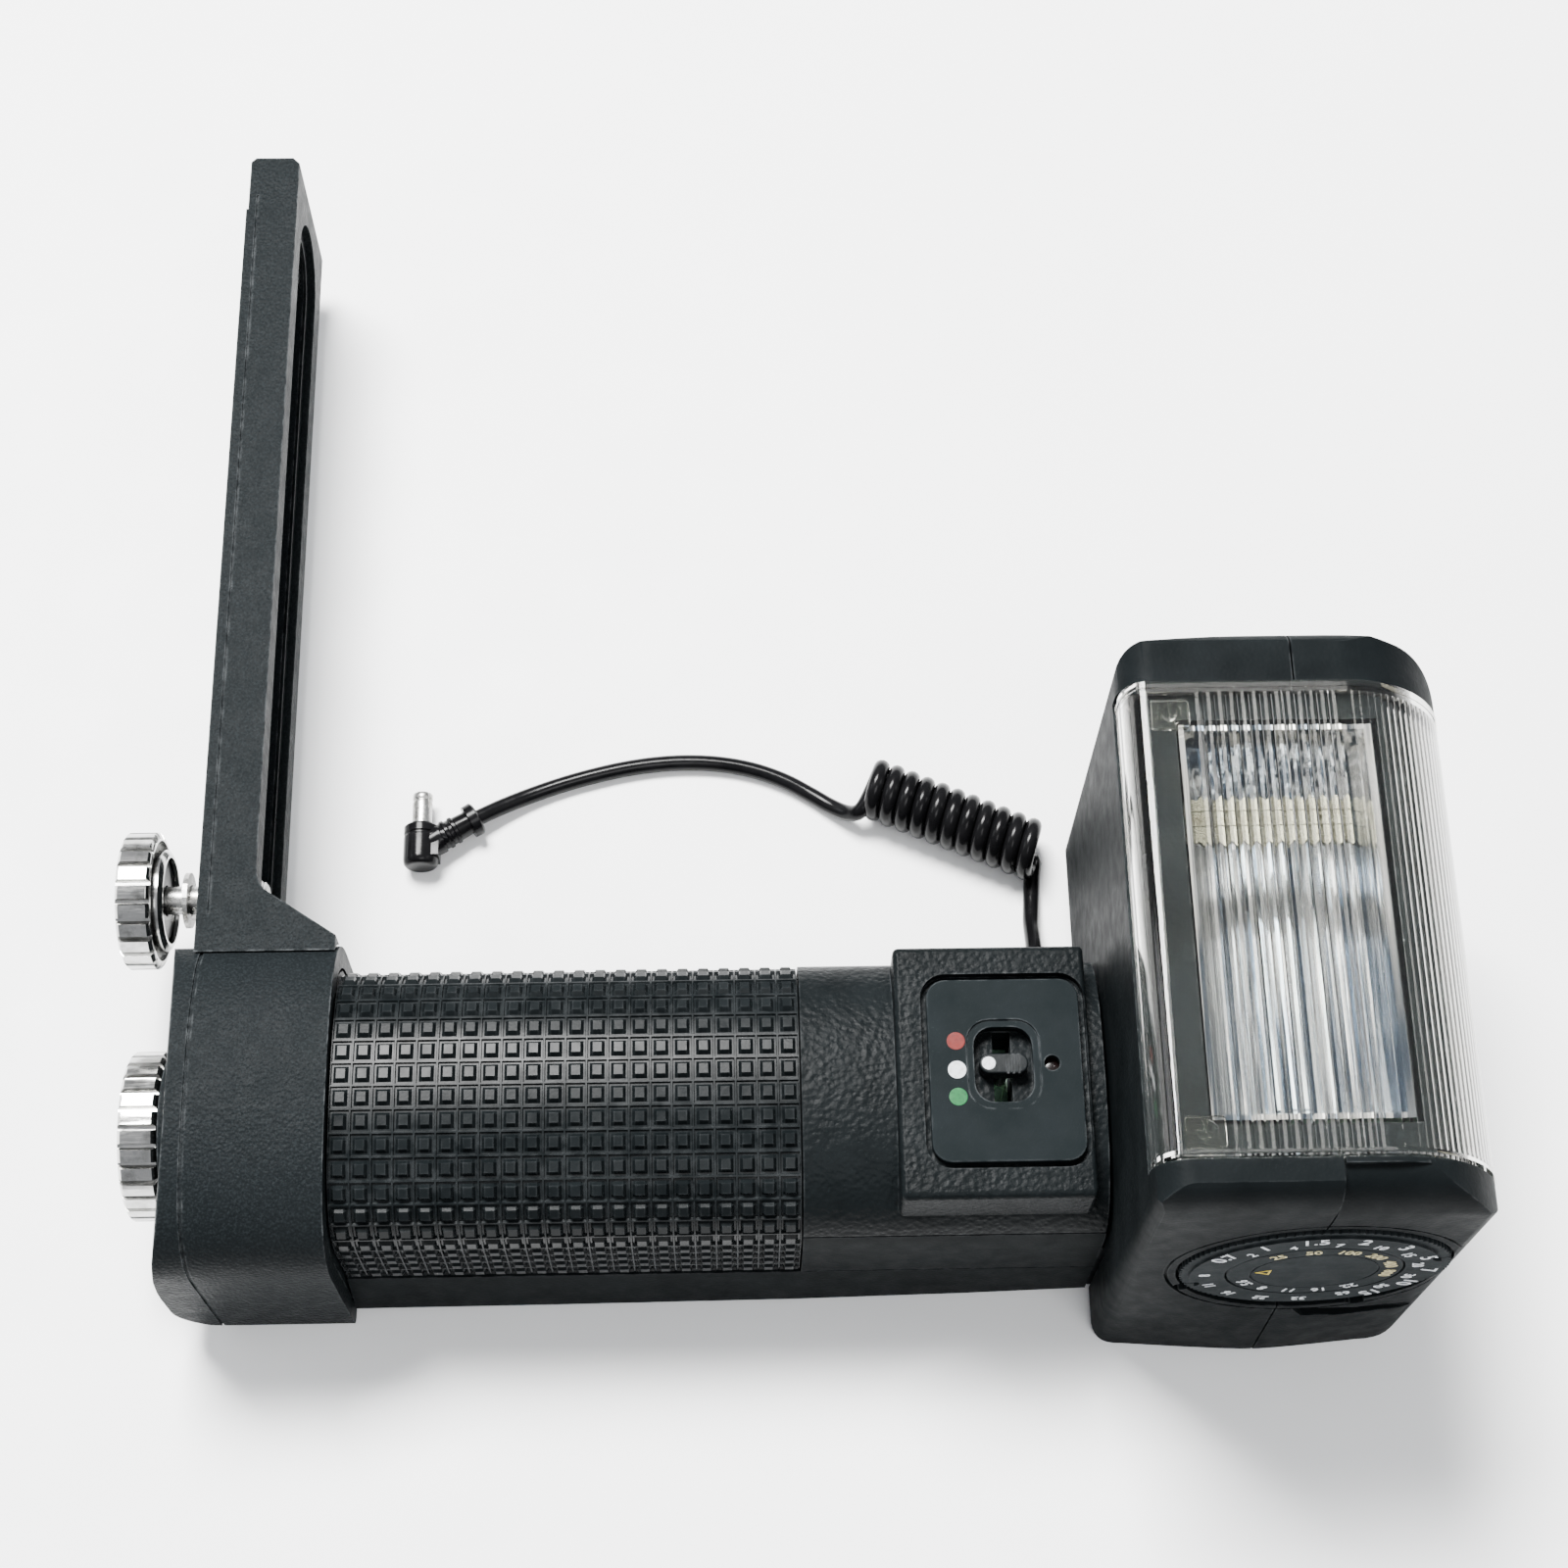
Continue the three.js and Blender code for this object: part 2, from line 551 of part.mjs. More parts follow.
function headEndView(inset) {
  const { y0, y1, top, flare, flareTop } = head;
  const z1 = top - inset;
  const base = y0 - flare + inset;
  const shape = new THREE.Shape();
  shape.moveTo(base + 2.5, inset);
  shape.lineTo(y1 - inset - 2.5, inset);
  shape.quadraticCurveTo(y1 - inset, inset, y1 - inset, inset + 2.5);
  shape.lineTo(y1 - inset, z1 - 7);
  shape.quadraticCurveTo(y1 - inset, z1, y1 - inset - 7, z1);
  shape.lineTo(y0 + inset + 6, z1);
  shape.quadraticCurveTo(y0 + inset, z1, y0 + inset, z1 - 8);
  shape.lineTo(y0 + inset, flareTop);
  shape.lineTo(base, inset + 2.5);
  shape.quadraticCurveTo(base, inset, base + 2.5, inset);
  return shape;
}

function headBody(inset, top) {
  const side = prismY(headProfile(inset, top), head.y0 - 5, head.y1 + 2, 8);
  const plan = prismZ(headPlan(inset), -2, head.top + 2, 5);
  const end = prismX(headEndView(inset), head.x0 - 2, head.x1 + 2, 5);
  return side.intersect(plan).intersect(end);
}

const headScrews = [[-22, 33], [44, 12]];
const shoulderDrop = 0.9; // how far the head's shoulders lie below the lens

function headShells() {
  const top = head.top - shoulderDrop;
  const slotHalf = handle.half + 0.4;
  const slotX = pivot.x + pivot.knuckle + 0.6;
  const slotZ = pivot.z + pivot.knuckle + 0.6;
  const slotWall = box(0, slotX + 2, -slotHalf - 2, slotHalf + 2, -5, slotZ + 2);
  const slot = box(0, slotX, -slotHalf, slotHalf, -5, slotZ);
  let hollow = headBody(head.wall, lens.bed);
  for (const [y, z] of headScrews) {
    hollow = hollow.subtract(rodX(3.2, 0, FAR, y, z, 16));
  }
  let body = headBody(0, top).subtract(lensBed()).subtract(hollow.subtract(slotWall)).subtract(slot);
  body = body.subtract(aperture()).subtract(farHeel());
  body = body.subtract(rodY(pivot.axle + GAP, head.y0 + 2.3, pivot.half + 6.4, pivot.x, pivot.z, 20));
  body = body.subtract(rodY(dial.outer + 0.5, head.y0 - 3, dial.face + dial.thick + GAP, dial.x, dial.z, 48));
  body = body.subtract(rodY(2.2 + GAP, head.y0 - 1, head.y0 + 6, dial.x, dial.z, 20));
  body = body.subtract(accessorySlot());
  for (const [y, z] of headScrews) {
    body = body.subtract(rodX(1.2, 158, 205, y, z, 12));
    body = body.subtract(rodX(3, head.x1 - 2.5, 205, y, z, 16));
  }
  const inner = body.intersect(box(0, head.split - GAP / 2, -FAR, FAR, -FAR, FAR));
  const outer = body.intersect(box(head.split + GAP / 2, FAR, -FAR, FAR, -FAR, FAR));
  return [inner, outer];
}

// The room that the lens cover and the hollow behind its curved end take up.
function lensBed() {
  const left = head.x0 + 4;
  const outline = polygon([
    [head.x0 - 5, lens.footLeft - GAP],
    [left, lens.footLeft - GAP],
    [left, lens.bed],
    [lens.stepX, lens.bed],
    [lens.stepX, lens.footRight - GAP],
    [head.x1 + 5, lens.footRight - GAP],
    [head.x1 + 5, head.top + 5],
    [head.x0 - 5, head.top + 5],
  ]);
  return prismY(outline, lens.y0 - GAP, lens.y1 + GAP);
}

function aperture() {
  const { x, half, y0, y1 } = reflector;
  const edge = 1.2;
  return box(x - half - edge, x + half + edge, y0 - edge, y1 + edge, lens.bed - 6, lens.bed + 6);
}

// The rear corner beyond the knuckle is rounded about the tilt axis, so that it never swings forward.
function farHeel() {
  const { x, z, half } = pivot;
  const corner = box(0, x, half + 0.6, FAR, -5, z);
  return corner.subtract(rodY(z, -FAR, FAR, x, z, 64));
}

// Narrow slot in the outer shell under the dial, open at the end of the head.
function accessorySlot() {
  const x0 = head.split + 2.4;
  return box(x0, FAR, head.y0 - 5, head.y0 + 0.2, 20.5, 24.5);
}

function headScrew([y, z]) {
  return rodX(0.9, 162, head.x1 - 1.5, y, z, 12).add(rodX(2.6, head.x1 - 2.2, head.x1 - 0.6, y, z, 16));
}

function lensCover() {
  const { thick, footLeft, footRight } = lens;
  const { x0, x1, top } = head;
  const rise = 8;
  const bowX = 18.5;
  const bowZ = top - footRight;
  const shape = new THREE.Shape();
  shape.moveTo(x0 + 0.4, footLeft);
  shape.quadraticCurveTo(x0 + 0.6, top, x0 + rise, top);
  shape.lineTo(x1 - bowX, top);
  shape.absellipse(x1 - bowX, footRight, bowX, bowZ, Math.PI / 2, 0, true, 0);
  shape.lineTo(x1 - thick, footRight);
  shape.absellipse(x1 - bowX, footRight, bowX - thick, bowZ - thick, 0, Math.PI / 2, false, 0);
  shape.lineTo(x0 + rise, top - thick);
  shape.quadraticCurveTo(x0 + 2.2, top - thick, x0 + 2.2, footLeft);
  return prismY(shape, lens.y0, lens.y1, 10);
}

function troughProfile(grow) {
  const { x, half, top, bottom } = reflector;
  const steps = 14;
  const power = 2.4;
  const shape = new THREE.Shape();
  for (let i = 0; i <= steps; i += 1) {
    const share = (2 * i) / steps - 1;
    const rise = Math.abs(share) ** power;
    const u = x + share * (half + grow);
    const v = bottom - grow + (top - bottom + grow) * rise;
    if (i === 0) {
      shape.moveTo(u, v);
    } else {
      shape.lineTo(u, v);
    }
  }
  shape.lineTo(x + half + grow, top + 1);
  shape.lineTo(x - half - grow, top + 1);
  return shape;
}

function reflectorSolid(grow) {
  const { y0, y1, top, bottom, endSlope } = reflector;
  const ends = polygon([
    [y0 - grow, top + 1],
    [y0 - grow + endSlope, bottom - grow],
    [y1 + grow - endSlope, bottom - grow],
    [y1 + grow, top + 1],
  ]);
  return prismY(troughProfile(grow), y0 - 5, y1 + 5).intersect(prismX(ends, 100, 250));
}

function reflectorTray() {
  const cup = reflectorSolid(reflector.wall).intersect(below(reflector.top)).subtract(reflectorSolid(0));
  return cup.subtract(rodY(tube.radius + GAP, -FAR, FAR, reflector.x, tube.z, 20));
}

function flashTube() {
  const glass = rodY(tube.radius, tube.y0 + 4, tube.y1 - 4, reflector.x, tube.z, 16);
  return glass.add(rodY(0.7, tube.y0, tube.y1, reflector.x, tube.z, 8));
}

function triggerBoard() {
  return box(177.5, 195.5, -22, 48, 44, 45.4);
}

function triggerCoil() {
  return rodY(5, 20, 34, 187, 50.8, 20);
}

function dialRing() {
  const { x, z, outer, inner, face, thick } = dial;
  const disc = new THREE.Shape();
  const teeth = 40;
  for (let i = 0; i < teeth * 2; i += 1) {
    const r = i % 2 === 0 ? outer : outer - 0.35;
    const turn = (i * Math.PI) / teeth;
    const u = x + r * Math.cos(turn);
    const v = z + r * Math.sin(turn);
    if (i === 0) {
      disc.moveTo(u, v);
    } else {
      disc.lineTo(u, v);
    }
  }
  return prismY(disc, face, face + thick).subtract(rodY(inner + GAP, face - 1, face + thick + 1, x, z, 48));
}

function dialDisc() {
  const { x, z, inner, face, thick } = dial;
  const disc = rodY(inner, face, face + thick, x, z, 48);
  return disc.add(rodY(2.2, face + 1, head.y0 + 4.9, x, z, 20));
}

function dialClip() {
  const y = head.y0 + head.wall + 1.1;
  const ring = rodY(4.5, y, y + 0.8, dial.x, dial.z, 20);
  return ring.subtract(rodY(2.2 + GAP, y - 1, y + 2, dial.x, dial.z, 20));
}

// Sync cord: gland, lead to the coil, coil, free end and a right-angle plug.
const coilStart = new THREE.Vector3(143.4, 53.4, cord.coil);
const coilEnd = new THREE.Vector3(115.6, 65.8, cord.coil);
const coilMargin = 1.4; // the end turns reach this far past their centre lines

const leadRoute = [
  [141.5, 28.4, 8],
  [141.7, 31, 7.8],
  [141.9, 34, 6.9],
  [142, 37.5, 4.9],
  [142.1, 41, 2.9],
  [142.4, 44.5, 1.8],
  [142.7, 47.8, 1.5],
];
const freeRoute = [
  [112.2, 64.6, 1.5],
  [109, 66.3, 1.5],
  [105, 68.1, 1.5],
  [100.3, 70, 1.5],
  [95, 71.6, 1.5],
  [89.4, 72.7, 1.5],
  [83.6, 73.1, 1.5],
  [77.8, 72.9, 1.5],
  [72, 72.1, 1.5],
  [66.3, 70.8, 1.5],
  [60.5, 69.1, 1.5],
  [55, 67, 1.7],
  [50.2, 64.7, 2.2],
  [46.4, 62.5, 2.7],
];

function glandPiece() {
  const { exitX, exitZ, radius } = cord;
  const body = rodY(2.9, 18.6, 23.6, exitX, exitZ, 20);
  const nose = new THREE.CylinderGeometry(1.9, 2.7, 4.4, 16);
  nose.translate(exitX, 25.7, exitZ);
  return body.add(toSolid(nose)).subtract(rodY(radius + 0.1, 10, 20.5, exitX, exitZ, 16));
}

function cordTube(points, steps) {
  const section = new THREE.Shape();
  const sides = 8;
  for (let i = 0; i < sides; i += 1) {
    const turn = (2 * Math.PI * i) / sides;
    const u = cord.radius * Math.cos(turn);
    const v = cord.radius * Math.sin(turn);
    if (i === 0) {
      section.moveTo(u, v);
    } else {
      section.lineTo(u, v);
    }
  }
  const path = new THREE.CatmullRomCurve3(points.map((p) => new THREE.Vector3(...p)));
  return new THREE.ExtrudeGeometry(section, { steps, extrudePath: path, bevelEnabled: false, curveSegments: 1 });
}

// The coil's outer shape: one fat rod with its axis flat on the surface.
function coilSolid() {
  const along = coilEnd.clone().sub(coilStart);
  const length = along.length() + 2 * coilMargin;
  const geometry = new THREE.CylinderGeometry(cord.coil, cord.coil, length, 20);
  geometry.rotateZ(Math.PI / 2);
  geometry.rotateZ(Math.atan2(along.y, along.x));
  const middle = coilStart.clone().add(coilEnd).multiplyScalar(0.5);
  geometry.translate(middle.x, middle.y, middle.z);
  return toSolid(geometry);
}

const plug = { barrelEnd: [45.9, 62.2], elbow: [36.2, 56.4], z: 3.3, radius: 3.1, sleeve: 1.75 };

function rodBetween(radius, from, to, z, segments) {
  const [x0, y0] = from;
  const [x1, y1] = to;
  const length = Math.hypot(x1 - x0, y1 - y0);
  const geometry = new THREE.CylinderGeometry(radius, radius, length, segments);
  geometry.rotateZ(Math.atan2(y1 - y0, x1 - x0) - Math.PI / 2);
  geometry.translate((x0 + x1) / 2, (y0 + y1) / 2, z);
  return toSolid(geometry);
}

function plugBody() {
  const { barrelEnd, elbow, z, radius, sleeve } = plug;
  const barrel = rodBetween(2.7, barrelEnd, elbow, z, 16);
  const knuckle = rodY(radius, elbow[1] - 3.6, elbow[1] + 4.2, elbow[0], z, 20);
  const seat = rodY(sleeve + GAP, elbow[1] + 2, elbow[1] + 6, elbow[0], z, 16);
  return barrel.add(knuckle).subtract(seat);
}

function plugSleeve() {
  const { elbow, z, sleeve } = plug;
  const y0 = elbow[1] + 2 + GAP;
  const outside = rodY(sleeve, y0, y0 + 8, elbow[0], z, 20);
  return outside.subtract(rodY(1.1, y0 + 3, y0 + 9, elbow[0], z, 16));
}

function plugPin() {
  const { elbow, z } = plug;
  const y0 = elbow[1] + 5.3 + GAP;
  return rodY(0.5, y0, y0 + 4, elbow[0], z, 8);
}

// Assembly.
function buildBracket() {
  place('bracket_collar', bracketCollar(), 'bracketBlack');
  place('bracket_arm', bracketArm(), 'bracketBlack');
  bracketScrewX.forEach((x, i) => place(`bracket_screw_${i + 1}`, bracketScrew(x), 'steel'));
  place('clamp_knob', clampKnob(), 'chrome');
  place('clamp_stud', clampStud(), 'steel');
  place('screw_bush', screwBush(), 'brass');
  place('knob_washer', knobWasher(), 'steel');
  place('camera_screw', cameraScrewShaft(), 'steel');
  place('camera_knob', cameraKnob(), 'chrome');
}

function buildHandle() {
  place('foot_plug', footPlug(), 'shellBlack');
  place('handle_insert', handleInsert(), 'brass');
  place('front_shell', frontShell(), 'shellBlack');
  place('rear_shell', rearShell(), 'shellBlack');
  place('grip_panel', gripPanel(), 'gripBlack');
  place('switch_housing', switchHousing(), 'shellBlack');
  place('switch_plate', switchPlate(), 'plateGrey');
  place('sensor_lens', sensorLens(), 'clear');
  place('mode_slider', modeSlider(), 'shellBlack');
  handleScrews.forEach((spot, i) => place(`handle_screw_${i + 1}`, handleScrew(spot), 'steel'));
  place('battery_door', batteryDoor(), 'shellBlack');
  place('door_pin', doorPin(), 'steel');
  [[-1, 0], [1, 0], [-1, 1], [1, 1]].forEach(([side, level], i) => {
    place(`battery_cell_${i + 1}`, batteryCell(side, level), 'cellJacket');
  });
  place('foot_contacts', contactPlate(34, 1), 'brass');
  place('top_contacts', contactPlate(88.6, -1), 'brass');
  place('main_capacitor', mainCapacitor(), 'capacitorSleeve');
  place('circuit_board', circuitBoard(), 'board');
  place('tilt_knuckle', tiltKnuckle(), 'shellBlack');
  place('tilt_axle', tiltAxle(), 'steel');
}

function buildHead() {
  const [inner, outer] = headShells();
  place('head_inner_shell', inner, 'shellBlack');
  place('head_outer_shell', outer, 'shellBlack');
  headScrews.forEach((spot, i) => place(`head_screw_${i + 1}`, headScrew(spot), 'steel'));
  place('lens_cover', lensCover(), 'clear');
  place('reflector', reflectorTray(), 'mirror');
  place('flash_tube', flashTube(), 'clear');
  place('trigger_board', triggerBoard(), 'board');
  place('trigger_coil', triggerCoil(), 'capacitorSleeve');
  place('dial_ring', dialRing(), 'dialGrey');
  place('dial_disc', dialDisc(), 'dialGrey');
  place('dial_clip', dialClip(), 'steel');
}

function buildCord() {
  place('cord_gland', glandPiece(), 'cordBlack');
  place('cord_lead', cordTube(leadRoute, 14), 'cordBlack');
  place('cord_coil', coilSolid(), 'cordBlack');
  place('cord_free', cordTube(freeRoute, 26), 'cordBlack');
  place('plug_body', plugBody(), 'cordBlack');
  place('plug_sleeve', plugSleeve(), 'chrome');
  place('plug_pin', plugPin(), 'brass');
}

buildBracket();
buildHandle();
buildHead();
buildCord();

// The exported origin is the middle of the rear face, under everything except the cord.
const middleX = (cameraScrew.rim0 + head.x1) / 2;
const middleY = (head.y0 - head.flare + arm.end) / 2;
drawing.position.set(-middleX, -middleY, 0);

const flash = new THREE.Group();
flash.add(drawing);

export default flash;
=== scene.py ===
import bpy
import bmesh
from math import ceil, cos, pi, radians, sin
from types import SimpleNamespace as Sizes

from mathutils import Matrix, Vector


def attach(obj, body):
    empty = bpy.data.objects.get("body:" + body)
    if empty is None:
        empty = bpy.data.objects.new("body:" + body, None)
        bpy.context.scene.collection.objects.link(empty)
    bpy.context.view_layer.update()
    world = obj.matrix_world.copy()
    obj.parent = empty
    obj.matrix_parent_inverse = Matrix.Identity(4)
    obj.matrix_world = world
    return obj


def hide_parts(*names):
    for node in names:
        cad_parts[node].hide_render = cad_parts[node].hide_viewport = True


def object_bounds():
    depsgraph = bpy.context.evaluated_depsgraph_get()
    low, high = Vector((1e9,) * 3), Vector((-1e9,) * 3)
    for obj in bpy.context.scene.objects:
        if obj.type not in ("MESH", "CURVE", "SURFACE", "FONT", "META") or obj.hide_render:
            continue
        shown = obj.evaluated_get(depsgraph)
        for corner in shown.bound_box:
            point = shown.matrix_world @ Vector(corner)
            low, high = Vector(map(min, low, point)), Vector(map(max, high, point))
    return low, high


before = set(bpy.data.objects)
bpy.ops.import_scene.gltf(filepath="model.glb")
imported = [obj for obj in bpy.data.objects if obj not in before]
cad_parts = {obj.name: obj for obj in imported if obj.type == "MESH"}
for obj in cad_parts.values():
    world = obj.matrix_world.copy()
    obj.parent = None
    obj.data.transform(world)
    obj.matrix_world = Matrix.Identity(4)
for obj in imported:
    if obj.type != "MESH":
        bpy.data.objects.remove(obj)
cad_low, cad_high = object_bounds()

# Every dimension is in millimetres in the part's drawing frame: x runs along the handle towards the
# head, y towards the end of the arm and z from the rear face to the lens. The drawing's lowest corner
# is the CAD box's lowest corner. The camera and the lamps are placed in metres in the row frame.
DRAWING_LOW = Vector((-8.9, -33.4, 0.0))
MM = 0.001
GAP = 0.3  # Between parts that fit into each other.
TO_ROW = Matrix.Translation(cad_low - DRAWING_LOW * MM) @ Matrix.Scale(MM, 4)


def row(point):
    return TO_ROW @ Vector(point)


def thing(name, data):
    made = bpy.data.objects.new(name, data)
    bpy.context.scene.collection.objects.link(made)
    return made


# Camera -----------------------------------------------------------------------------------------
CAMERA_AT = (-0.00625, -0.20425, 0.4504)
CAMERA_ELEVATION, CAMERA_TURN, CAMERA_ROLL = radians(65.77), radians(3.07), radians(2.07)
CAMERA_LENS = 63.64


def aim_camera():
    elevation, turn, roll = CAMERA_ELEVATION, CAMERA_TURN, CAMERA_ROLL
    forward = Vector((sin(turn) * cos(elevation), cos(turn) * cos(elevation), -sin(elevation)))
    right = Vector((cos(turn), -sin(turn), 0))
    up = right.cross(forward)
    side = cos(roll) * right + sin(roll) * up
    top = cos(roll) * up - sin(roll) * right
    data = bpy.data.cameras.new("camera")
    data.sensor_width = 36
    data.lens = CAMERA_LENS
    data.clip_start = 0.01
    camera = thing("camera", data)
    camera.matrix_world = Matrix.Translation(CAMERA_AT) @ Matrix((side, top, -forward)).transposed().to_4x4()
    bpy.context.scene.camera = camera


aim_camera()


# Materials --------------------------------------------------------------------------------------
class Paint:
    """A procedural material under construction, in row-frame metres so that its grain is to scale."""

    def __init__(self, name, **sockets):
        self.material = bpy.data.materials.new(name)
        self.material.use_nodes = True
        self.tree = self.material.node_tree
        self.shader = self.tree.nodes["Principled BSDF"]
        self.place = self.node("ShaderNodeTexCoord", {}).outputs["Object"]
        for key, value in sockets.items():
            self.shader.inputs[key.replace("_", " ")].default_value = value

    def node(self, kind, inputs, **settings):
        """A new node. inputs gives its sockets a number, a colour or another node's output."""
        made = self.tree.nodes.new(kind)
        for key, value in settings.items():
            setattr(made, key, value)
        for key, value in inputs.items():
            if isinstance(value, bpy.types.NodeSocket):
                self.tree.links.new(value, made.inputs[key])
            else:
                made.inputs[key].default_value = value
        return made

    def noise(self, size, detail, stretch=None):
        """Cloudy noise whose blotches are about size millimetres across."""
        place = self.place
        if stretch:
            place = self.node("ShaderNodeMapping", {"Scale": stretch, "Vector": place}).outputs["Vector"]
        inputs = {"Scale": 1 / (size * MM), "Detail": detail, "Roughness": 0.55, "Vector": place}
        return self.node("ShaderNodeTexNoise", inputs).outputs["Fac"]

    def cells(self, size, feature):
        inputs = {"Scale": 1 / (size * MM), "Vector": self.place}
        return self.node("ShaderNodeTexVoronoi", inputs, feature=feature).outputs["Distance"]

    def span(self, value, low, high, to_low=0.0, to_high=1.0):
        inputs = {"Value": value, "From Min": low, "From Max": high, "To Min": to_low, "To Max": to_high}
        return self.node("ShaderNodeMapRange", inputs).outputs["Result"]

    def clouds(self, size, detail, low, high, to_low=0.0, to_high=1.0, stretch=None):
        """Noise between low and high, spread over to_low to to_high."""
        return self.span(self.noise(size, detail, stretch), low, high, to_low, to_high)

    def maths(self, operation, a, b):
        return self.node("ShaderNodeMath", {0: a, 1: b}, operation=operation).outputs[0]

    def blend(self, share, first, second):
        first, second = ((*c, 1) if isinstance(c, tuple) else c for c in (first, second))
        return self.node("ShaderNodeMix", {"Factor": share, 6: first, 7: second}, data_type="RGBA").outputs[2]

    def edges(self, radius):
        """1 along outer edges, within radius millimetres of them, broken up by noise."""
        rounded = self.node("ShaderNodeBevel", {"Radius": radius * MM}, samples=4).outputs["Normal"]
        flat = self.node("ShaderNodeNewGeometry", {}).outputs["Normal"]
        dot = self.node("ShaderNodeVectorMath", {0: rounded, 1: flat}, operation="DOT_PRODUCT").outputs["Value"]
        return self.maths("MULTIPLY", self.span(dot, 0.97, 0.75), self.clouds(2.4, 5.0, 0.42, 0.62))

    def finished(self, colour, rough, height, depth, strength=1.0):
        """Links colour, roughness and a raised grain, depth millimetres from its lowest point to its highest."""
        inputs = {"Strength": strength, "Distance": depth * MM, "Height": height}
        normal = self.node("ShaderNodeBump", inputs).outputs["Normal"]
        for socket, output in (("Base Color", colour), ("Roughness", rough), ("Normal", normal)):
            self.tree.links.new(output, self.shader.inputs[socket])
        return self.material


def moulded(name, base, light, roughness, grain, depth, wear_and_highlight=0.5, flecks=None, shine=0.06):
    """Dark moulded plastic: cloudy tone, pebbled grain, edges paler, partly rubbed wear and partly a painted
    highlight.
    """
    p = Paint(name, Specular_IOR_Level=shine)
    tone = p.blend(p.clouds(9, 4.0, 0.3, 0.7), base, light)
    if flecks:
        size, share, fleck = flecks
        tone = p.blend(p.clouds(size, 2.0, share, share + 0.1), tone, fleck)
    # Paler edge colour: partly rubbed wear, partly a painted highlight where light would catch the edges.
    tone = p.blend(p.maths("MULTIPLY", p.edges(0.5), wear_and_highlight), tone, (0.06, 0.065, 0.068))
    rough = p.clouds(3.5, 4.0, 0.25, 0.75, roughness - 0.07, roughness + 0.09)
    pebbles = p.span(p.cells(grain, "SMOOTH_F1"), 0.1, 0.75)
    fine = p.maths("MULTIPLY", p.noise(grain * 0.4, 3.0), 0.5)
    return p.finished(tone, rough, p.maths("ADD", pebbles, fine), depth, 0.8)


def metal(name, base, tarnish, roughness, stretch=(1, 1, 1)):
    """Plated or machined metal with fine scratches and dull patches."""
    p = Paint(name, Metallic=1.0)
    tone = p.blend(p.clouds(2.5, 5.0, 0.48, 0.75), base, tarnish)
    scratches = p.noise(0.22, 4.0, stretch)
    return p.finished(tone, p.span(scratches, 0.3, 0.75, roughness * 0.6, roughness * 1.5), scratches, 0.006, 0.5)


def printed(name, colour, worn):
    """Thin paint with small rubbed spots."""
    p = Paint(name, Specular_IOR_Level=0.12)
    tone = p.blend(p.clouds(0.5, 4.0, 0.5, 0.72), colour, worn)
    return p.finished(tone, p.clouds(0.8, 3.0, 0.3, 0.7, 0.35, 0.6), p.noise(0.25, 3.0), 0.01)


def clear_plastic(name, tint, aged, roughness):
    """Clear plastic that lamps shine through: its shadows are clear."""
    p = Paint(name, IOR=1.33, Transmission_Weight=1.0)
    tone = p.blend(p.clouds(6, 3.0, 0.35, 0.75), tint, aged)
    scuffs = p.clouds(0.8, 5.0, 0.55, 0.8, stretch=(1, 0.12, 1))
    p.finished(tone, p.span(scuffs, 0.0, 1.0, roughness, roughness + 0.12), p.noise(1.6, 3.0), 0.006, 0.5)
    shadow = p.node("ShaderNodeLightPath", {}).outputs["Is Shadow Ray"]
    clear = p.node("ShaderNodeBsdfTransparent", {"Color": (0.93, 0.93, 0.9, 1)}).outputs[0]
    mix = p.node("ShaderNodeMixShader", {0: shadow, 1: p.shader.outputs[0], 2: clear})
    p.tree.links.new(mix.outputs[0], p.tree.nodes["Material Output"].inputs["Surface"])
    return p.material


def mirror():
    """Bright anodised trough: long light and dark streaks run its length, painted reflections in its colour;
    darker towards the far end.
    """
    p = Paint("mirror_tray_finish", Metallic=0.92)
    # The streaks between dark blue-grey and white are painted reflections of the room, not the metal's own
    # colour.
    fine = p.clouds(0.9, 2.0, 0.42, 0.54, stretch=(1, 0.02, 0.5))
    broad_painted_streaks = p.clouds(4.2, 2.0, 0.42, 0.5, stretch=(1, 0.05, 0.5))
    tone = p.blend(fine, (0.1, 0.12, 0.15), (1.0, 1.0, 1.0))
    tone = p.blend(broad_painted_streaks, (0.07, 0.09, 0.12), tone)
    far = p.node("ShaderNodeSeparateXYZ", {0: p.place}).outputs["Y"]
    tone = p.blend(p.span(far, -0.005, 0.05, 0.0, 0.75), tone, (0.2, 0.215, 0.23))
    tone = p.blend(p.clouds(4, 4.0, 0.64, 0.8), tone, (0.5, 0.5, 0.47))
    rough = p.clouds(0.7, 3.0, 0.3, 0.7, 0.05, 0.14, (1, 0.05, 1))
    return p.finished(tone, rough, p.noise(1.4, 2.0, (1, 0.04, 1)), 0.07, 0.9)


def vinyl():
    p = Paint("cord_vinyl_finish", Specular_IOR_Level=0.09)
    tone = p.blend(p.clouds(5, 4.0, 0.4, 0.75), (0.0022, 0.0022, 0.0025), (0.0045, 0.0045, 0.005))
    return p.finished(tone, p.clouds(1.5, 4.0, 0.3, 0.7, 0.14, 0.26), p.noise(2.5, 2.0), 0.01, 0.3)


def circuit():
    p = Paint("board_finish", Coat_Weight=0.4, Coat_Roughness=0.2)
    tracks = p.span(p.cells(2.2, "DISTANCE_TO_EDGE"), 0.03, 0.06)
    tone = p.blend(tracks, (0.09, 0.2, 0.1), (0.03, 0.1, 0.05))
    return p.finished(tone, p.clouds(1, 3.0, 0.3, 0.7, 0.35, 0.6), tracks, 0.03)


def jacket(name, base, band):
    """A printed plastic sleeve round a cell or a capacitor."""
    p = Paint(name, Coat_Weight=0.5, Coat_Roughness=0.15)
    tone = p.blend(p.clouds(14, 1.0, 0.46, 0.5, stretch=(1, 0.2, 0.2)), base, band)
    return p.finished(tone, p.clouds(2, 4.0, 0.3, 0.7, 0.22, 0.42), p.noise(1.2, 3.0), 0.02)


